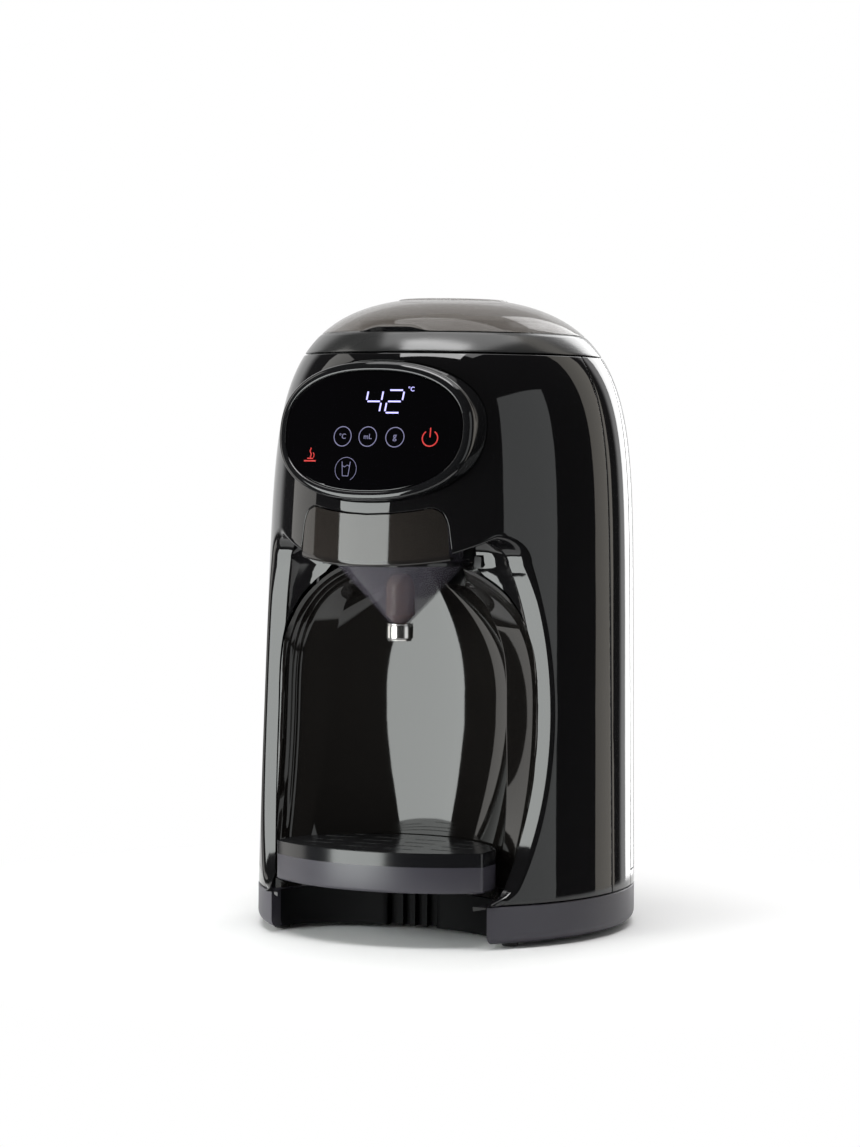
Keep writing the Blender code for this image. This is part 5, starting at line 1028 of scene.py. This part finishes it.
def tray_outline(inset, steps=48):
    """Plan of the tray: bowed in front, following the bay's wall behind."""
    half = 0.0618 - inset
    reach_x, reach_y = HALF_WIDTH - inset, 0.1124 - inset
    front = [(x, -reach_y * math.sqrt(1 - (x / reach_x) ** 2)) for x in spaced(-half, half, steps)]
    middle, depth, wide = bay_ellipse(0.030, bay_half(0.030) - 0.001 - inset)
    rear = rear_arc(math.acos(min(1.0, half / wide)), wide, depth - 0.001 - inset, steps, middle)
    return soften(front + rear, 0.003, 4, closed=True)


def tray():
    work = slab(tray_outline(0.0), 0.030, 0.0515, 0.0016, 0.0, 3)
    top = [f for f in work.faces if f.normal.z > 0.9]
    bmesh.ops.inset_region(work, faces=top, thickness=0.0012, use_even_offset=True)
    bmesh.ops.translate(work, verts=list({v for f in top for v in f.verts}), vec=(0, 0, -0.0023))
    bmesh.ops.inset_region(work, faces=top, thickness=0.0008, use_even_offset=True)
    bmesh.ops.translate(work, verts=list({v for f in top for v in f.verts}), vec=(0, 0, -0.0172))
    brim = [e for e in work.edges if all(abs(v.co.z - 0.0515) < 1e-6 for v in e.verts) and e.is_boundary is False]
    round_edges(work, brim, 0.0003, 2)
    join_into(work, block((-0.008, -0.051, 0.026), (0.008, -0.036, 0.031)))
    settle("drip_tray", work, "tray_body", tray_satin, ("drip_tray",), sharp=40)


tray()

# ---------------------------------------------------------------- collar, lid, hopper

def barrel_profile(low, high, steps, inset=0.0):
    return [(HALF_WIDTH * share(z) - inset, z) for z in spaced(low, high, steps)]


def hinge_eye(start, end):
    """A ring on the lid hinge's axis, between two places across the machine."""
    ring = [(0.0018, start), (0.0032, start), (0.0032, end), (0.0018, end)]
    work = turned(ring, steps=40, softness=0.0003, closed=True)
    bmesh.ops.rotate(work, verts=work.verts, cent=(0, 0, 0), matrix=Matrix.Rotation(math.pi / 2, 3, "Y"))
    bmesh.ops.translate(work, verts=work.verts, vec=(0, HINGE_Y, HINGE_Z))
    return work


def collar():
    low, high = COLLAR_LOW + SEAM / 2, LID_LOW - SEAM / 2
    outer = barrel_profile(low, high, 8)
    ring = outer[:-1] + [(outer[-1][0] - 0.0002, high), (outer[-1][0] - 0.0024, high),
                         (HALF_WIDTH * share(low + 0.003) - 0.003, low + WALL), (0.049, low + WALL), (0.049, low)]
    work = turned(ring, steps=160, softness=0.0004, closed=True, egg=True)
    for vertex in work.verts:
        x, y, z = vertex.co
        away = Vector((x, (y - lean(z)) * HALF_WIDTH / HALF_DEPTH))
        if abs(away.length - 0.049) < 0.0012 and z < low + WALL + 0.001:
            away = away.normalized() * 0.0487
            vertex.co.x, vertex.co.y = away.x, away.y + HOPPER_Y
    for start, end in ((-0.0103, -0.0053), (0.0053, 0.0103)):
        join_into(work, hinge_eye(start, end))
        join_into(work, block((start, 0.0822, 0.3205), (end, HINGE_Y + 0.0030, 0.3318)))
    settle("collar", work, "machine", collar_grey, ("collar",), sharp=45)


collar()


def lid():
    rim = LID_LOW + SEAM / 2
    step_z = TOP - 0.001
    levels = [rim + (step_z - rim) * math.sin(angle) for angle in spaced(0, math.pi / 2, 24)]
    outer = [(HALF_WIDTH * share(z), z) for z in levels]
    edge = outer[-1][0] - 0.0010
    crown = [(edge, step_z), (edge - 0.0002, TOP - 0.0004), (edge - 0.0010, TOP - 0.0001), (edge * 0.6, TOP),
             (0.0, TOP)]
    inner = [(0.0, step_z - 0.0022)]
    for radius, z in reversed(outer[4:-1:3]):
        inner.append((radius - 0.0022, z - 0.0022))
    inner = [p for p in inner if p[1] > rim + 0.0005]
    profile = outer + crown + inner + [(outer[0][0] - 0.0022, rim)]
    work = turned(profile, steps=176, softness=0.0003, closed=True, egg=True)
    for vertex in work.verts:
        x, y, z = vertex.co
        if y < 0 and abs(x) < 0.020 and z < rim + 0.0030:
            rise = 0.0022 * min(1.0, (0.020 - abs(x)) / 0.010)
            vertex.co.z = max(z, rim + rise + (z - rim) * 0.25)
    join_into(work, hinge_eye(-0.005, 0.005))
    join_into(work, block((-0.005, 0.0812, rim), (0.005, HINGE_Y - 0.0005, HINGE_Z + 0.0031)))
    settle("lid", work, "lid_body", smoked_lid, ("lid",), sharp=40)


lid()


def hopper():
    r = HOPPER_RADIUS
    outside = [(r, 0.337), (r, 0.3240), (r + 0.004, 0.3240), (r + 0.004, 0.3218), (r, 0.3218), (r, 0.2477)]
    inside = [(0.0036, 0.2477), (0.0036, 0.2497), (r - 0.002, 0.2497), (r - 0.002, 0.337)]
    work = turned(outside + inside, (0, HOPPER_Y), 96, 0.0005, True)
    settle("powder_hopper", work, "machine", tank_clear, ("powder_hopper",))
    cap = [(0, 0.3420), (0.0096, 0.3420), (0.0100, 0.3414), (0.0100, 0.3395), (r - 0.0030, 0.3395), (r, 0.3375),
           (r, 0.3373), (r - 0.0024, 0.3373), (r - 0.0024, 0.3351), (0, 0.3351)]
    work = turned(cap, (0, HOPPER_Y), 96, 0.0005)
    settle("hopper_lid", work, "machine", white_plastic, ("hopper_lid",))


hopper()

# ---------------------------------------------------------------- rear casing and tank

def strip(sign, low, high, near_y, far_y, thickness=WALL, rim=0.0006):
    """A part of the skin between two depths at one side."""
    outline = [(sign * round_to(near_y, z), z) for z in spaced(low, high, 24)]
    outline += [(sign * round_to(far_y, z), z) for z in spaced(high, low, 24)]
    return plate(outline, barrel, thickness, rim, halves=False)


def rear_outline(low, high, y, steps=24):
    """Right half of the rear skin behind a depth, measured from the rear middle."""
    side = [(math.pi * SKIN_SCALE - round_to(y, z), z) for z in spaced(low, high, steps)]
    return [(0.0, low)] + side + [(0.0, high)]


def upright_wall(low, high, y, thickness, inset):
    """A flat wall across the barrel that reaches the inside of the skin."""
    points = [(0.0, low)] + [(skin_x(z, y, inset), z) for z in spaced(low, high, 18)] + [(0.0, high)]
    return plate(points, lambda x, z, h: Vector((-x, y - h - thickness, z)), thickness, 0.0004, 2, 0.012)


def rear_casing():
    low, high = BASE_TOP + SEAM / 2, COLLAR_LOW - SEAM / 2
    near, far = SEAM_Y + SEAM / 2, TANK_WRAP_Y - SEAM
    parts = [strip(1, low, high, near, far), strip(-1, low, high, near, far),
             plate(rear_outline(low, TANK_LOW - GAP, far), rear_barrel, rim=0.0006)]
    work, normals = merged(*parts)
    settle("rear_shell", work, "machine", gloss_black, ("rear_shell",), corner_normals=normals)
    rows = []
    for z in spaced(low, high, 24):
        reach = skin_x(z, NICHE_Y + 0.0015, WALL + 0.0010)
        wing = skin_x(z, TANK_WRAP_Y, WALL + 0.0010)
        row = [Vector((wing, TANK_WRAP_Y - 0.0006, z))]
        for j in range(1, 9):
            y = TANK_WRAP_Y + (NICHE_Y + 0.0010 - TANK_WRAP_Y) * j / 8
            row.append(Vector((skin_x(z, y, WALL + 0.0010), y, z)))
        row.append(Vector((reach - 0.0012, NICHE_Y + WALL, z)))
        for j in range(1, 5):
            row.append(Vector(((reach - 0.0012) * (1 - j / 4), NICHE_Y + WALL, z)))
        rows.append(row)
    wall = loft(rows, thickness=0.0014, mirrored=True, toward=(0, 0.6, 0.17))
    plan = rear_arc(math.asin(NICHE_Y / HALF_DEPTH), HALF_WIDTH - WALL, HALF_DEPTH - WALL)
    join_into(wall, slab(plan, TANK_LOW - GAP - WALL, TANK_LOW - GAP, 0.0, 0.0003))
    settle("tank_niche", wall, "machine", dark_plastic, (), sharp=50)


rear_casing()


def tank():
    low, high = TANK_LOW, COLLAR_LOW - SEAM / 2
    skin = plate(rear_outline(low, high, TANK_WRAP_Y), rear_barrel, rim=0.0008)
    front = upright_wall(low + 0.0004, high - 0.0004, TANK_FRONT_Y, WALL, WALL - 0.0002)
    work, normals = merged(skin, front)
    settle("water_tank", work, "tank_body", tank_clear, ("water_tank",),
           corner_normals=normals)
    plan = rear_arc(math.asin((TANK_FRONT_Y + WALL) / HALF_DEPTH), HALF_WIDTH - WALL, HALF_DEPTH - WALL)
    floor = slab(plan, low, low + WALL, 0.0, 0.0004)
    port = [(0.0065, 0.0), (0.0085, 0.0), (0.0085, 0.0105), (0.0040, 0.0105), (0.0040, 0.0085), (0.0065, 0.0085)]
    join_into(floor, lay_along_y(turned(port, steps=48, closed=True), (0, TANK_FRONT_Y, 0.044)))
    settle("tank_floor", floor, "tank_body", tank_clear, ())
    level = 0.317
    size, middle = share(level), lean(level)
    start = math.asin((TANK_FRONT_Y + 0.0016 - middle) / (HALF_DEPTH * size - 0.0016))
    plan = rear_arc(start, HALF_WIDTH * size - 0.0021, HALF_DEPTH * size - 0.0024, 64, middle)
    cover = slab(plan, 0.3158, 0.3183, 0.0, 0.0006)
    join_into(cover, block((-0.016, 0.078, 0.3182), (0.016, 0.081, 0.3183), 0.00002))
    settle("tank_lid", cover, "tank_body", dark_plastic, ("tank_lid",))


tank()

# ---------------------------------------------------------------- finishes of the drawn nodes that show as they are

# The tray bracket inside the notch takes the notch's painted shade
node_finishes = {
    "base_cover": dark_plastic, "cord_gland": rubber, "lid_hinge_pin": steel, "display_board": board_green,
    "digit_module": white_plastic, "drawer_rail_left": dark_plastic, "drawer_rail_right": dark_plastic,
    "tray_bracket": notch_painted_shade, "dosing_base": dark_plastic, "powder_chute": white_plastic, "gear_motor": steel,
    "inner_frame": dark_plastic, "tank_spigot": dark_plastic, "spigot_ring": rubber, "water_pump": dark_plastic,
    "water_heater": steel, "suction_hose": rubber, "pressure_hose": rubber, "outlet_hose": rubber,
    "water_spout": dark_plastic, "power_board": board_green, "transformer": dark_plastic, "tank_valve": white_plastic,
    "drip_grille": black_grille, "dosing_wheel": white_plastic, "drive_shaft": steel, "stirrer": white_plastic,
    "motor_pinion": steel,
}
for name, node in nodes.items():
    finish = node_finishes.get(name, steel if "screw" in name else dark_plastic)
    node.data.materials.clear()
    node.data.materials.append(finish)

# ---------------------------------------------------------------- floor, light, camera

def floor():
    work = bmesh.new()
    bmesh.ops.create_circle(work, cap_ends=True, segments=96, radius=0.40)
    mesh = bpy.data.meshes.new("floor")
    work.to_mesh(mesh)
    work.free()
    piece = bpy.data.objects.new("floor", mesh)
    bpy.context.scene.collection.objects.link(piece)
    f = Finish("pale_floor")
    paint = f.node("ShaderNodeBsdfPrincipled", None, Base_Color=(0.93, 0.93, 0.93, 1), Roughness=0.6,
                   Specular_IOR_Level=0.2)["BSDF"]
    light = f.node("ShaderNodeEmission", None, Color=(1, 1, 1, 1), Strength=1.0)["Emission"]
    part = f.node("ShaderNodeSeparateXYZ", None, _0=f.place)
    away = (part["X"] * part["X"] + part["Y"] * part["Y"]) ** 0.5
    seen = f.node("ShaderNodeLightPath")
    shown = f.soft_step(away, 0.15, 0.36) * seen["Is Camera Ray"]
    mixed = f.node("ShaderNodeMixShader", None, _0=shown, _1=paint, _2=light)["Shader"]
    clear = f.node("ShaderNodeBsdfTransparent")["BSDF"]
    unseen = f.soft_step(away, 0.25, 0.30) * seen["Is Glossy Ray"]
    mixed = f.node("ShaderNodeMixShader", None, _0=unseen, _1=mixed, _2=clear)["Shader"]
    f.node("ShaderNodeOutputMaterial", None, Surface=mixed)
    mesh.materials.append(f.material)
    piece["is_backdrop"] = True


floor()


def world():
    """White behind the object for the camera; the room that gloss sees is dim in front and pale behind."""
    w = bpy.data.worlds.new("studio")
    bpy.context.scene.world = w
    w.use_nodes = True
    f = Finish.__new__(Finish)
    f.tree = w.node_tree
    f.tree.nodes.clear()
    seen = f.node("ShaderNodeLightPath")
    place = f.node("ShaderNodeTexCoord")["Generated"]
    part = f.node("ShaderNodeSeparateXYZ", None, _0=place)
    behind = f.soft_step(part["Y"], 0.35, 0.55) * (1 - f.soft_step(part["X"], 0.27, 0.36))
    room = 0.035 + behind * 0.80
    level = seen["Is Camera Ray"] + (1 - seen["Is Camera Ray"]) * room
    back = f.node("ShaderNodeBackground", None, Color=(1, 1, 1, 1), Strength=level)["Background"]
    f.node("ShaderNodeOutputWorld", None, Surface=back)


world()

VIEW_AZIMUTH = math.radians(24.4399142)


def area_light(name, width, height, level, place, out=None, colour=(1, 1, 1)):
    """A soft light of a plain level that faces away from the direction out, or down."""
    lamp = bpy.data.lights.new(name, "AREA")
    lamp.shape = "RECTANGLE"
    lamp.size, lamp.size_y = width, height
    lamp.color = colour
    lamp.energy = level * math.pi * width * height
    holder = bpy.data.objects.new(name, lamp)
    bpy.context.scene.collection.objects.link(holder)
    holder.location = place
    if out:
        holder.rotation_euler = out.to_track_quat("Z", "Y").to_euler()
    holder.visible_camera = False


def panel(name, bearing, span, low, high, level, colour=(1, 1, 1), distance=1.5, middle=0.17):
    """A light at a bearing right of the camera's, seen from the object, between two elevations."""
    angle = VIEW_AZIMUTH + math.radians(bearing)
    out = Vector((math.sin(angle), -math.cos(angle), 0))
    bottom = middle + distance * math.tan(math.radians(low))
    top = middle + distance * math.tan(math.radians(high))
    width = 2 * distance * math.tan(math.radians(span / 2))
    place = out * distance + Vector((0, 0, (bottom + top) / 2))
    area_light(name, width, top - bottom, level, place, out, colour)


panel("right_panel", 58.5, 35, -24, 32, 1.05, (0.97, 1.0, 1.0))
panel("right_wing", 115, 18, -24, 62, 0.95, (1.0, 0.95, 0.86))
panel("right_rim", 151, 20, -24, 50, 3.2)
panel("left_wing", -106, 26, -24, 45, 1.5, (1.0, 0.98, 0.94))
panel("key", -48.5, 35, -30, 15.5, 7.2, (0.96, 1.0, 0.98), distance=0.55)
area_light("overhead", 1.5, 1.1, 2.56, (0, 0.1, 1.7))
strip_bearing = VIEW_AZIMUTH - 0.25
strip_out = Vector((math.sin(strip_bearing) * 0.36, -math.cos(strip_bearing) * 0.36, 1.0)).normalized()
area_light("top_strip", 0.80, 0.40, 9, Vector((0, 0, 0.33)) + strip_out * 1.2, strip_out)


def camera():
    azimuth, pitch, yaw, roll = (math.radians(v) for v in (24.4399142, 2.33700604, -0.365326282, 0.576997795))
    distance, height, focal = 1.81407909, 0.270292174, 3218.04033
    forward = Vector((-math.sin(azimuth), math.cos(azimuth), 0))
    right = Vector((math.cos(azimuth), math.sin(azimuth), 0))
    up = Vector((0, 0, 1))

    def swung(first, second, angle):
        """Two directions at right angles, turned together."""
        return (first * math.cos(angle) + second * math.sin(angle),
                second * math.cos(angle) - first * math.sin(angle))

    forward, right = swung(forward, right, yaw)
    forward, up = swung(forward, up, -pitch)
    right, up = swung(right, up, roll)
    data = bpy.data.cameras.new("camera")
    data.sensor_fit = "VERTICAL"
    data.sensor_height = 36
    data.lens = focal / 1147 * 36
    data.clip_start, data.clip_end = 0.05, 50
    holder = bpy.data.objects.new("camera", data)
    bpy.context.scene.collection.objects.link(holder)
    place = Vector((distance * math.sin(azimuth), -distance * math.cos(azimuth) - MIDDLE_Y, height))
    turn = Matrix((right, up, -forward)).transposed()
    holder.matrix_world = Matrix.Translation(place) @ turn.to_4x4()
    bpy.context.scene.camera = holder


camera()
bpy.context.scene.view_settings.view_transform = "Standard"

low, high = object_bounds()
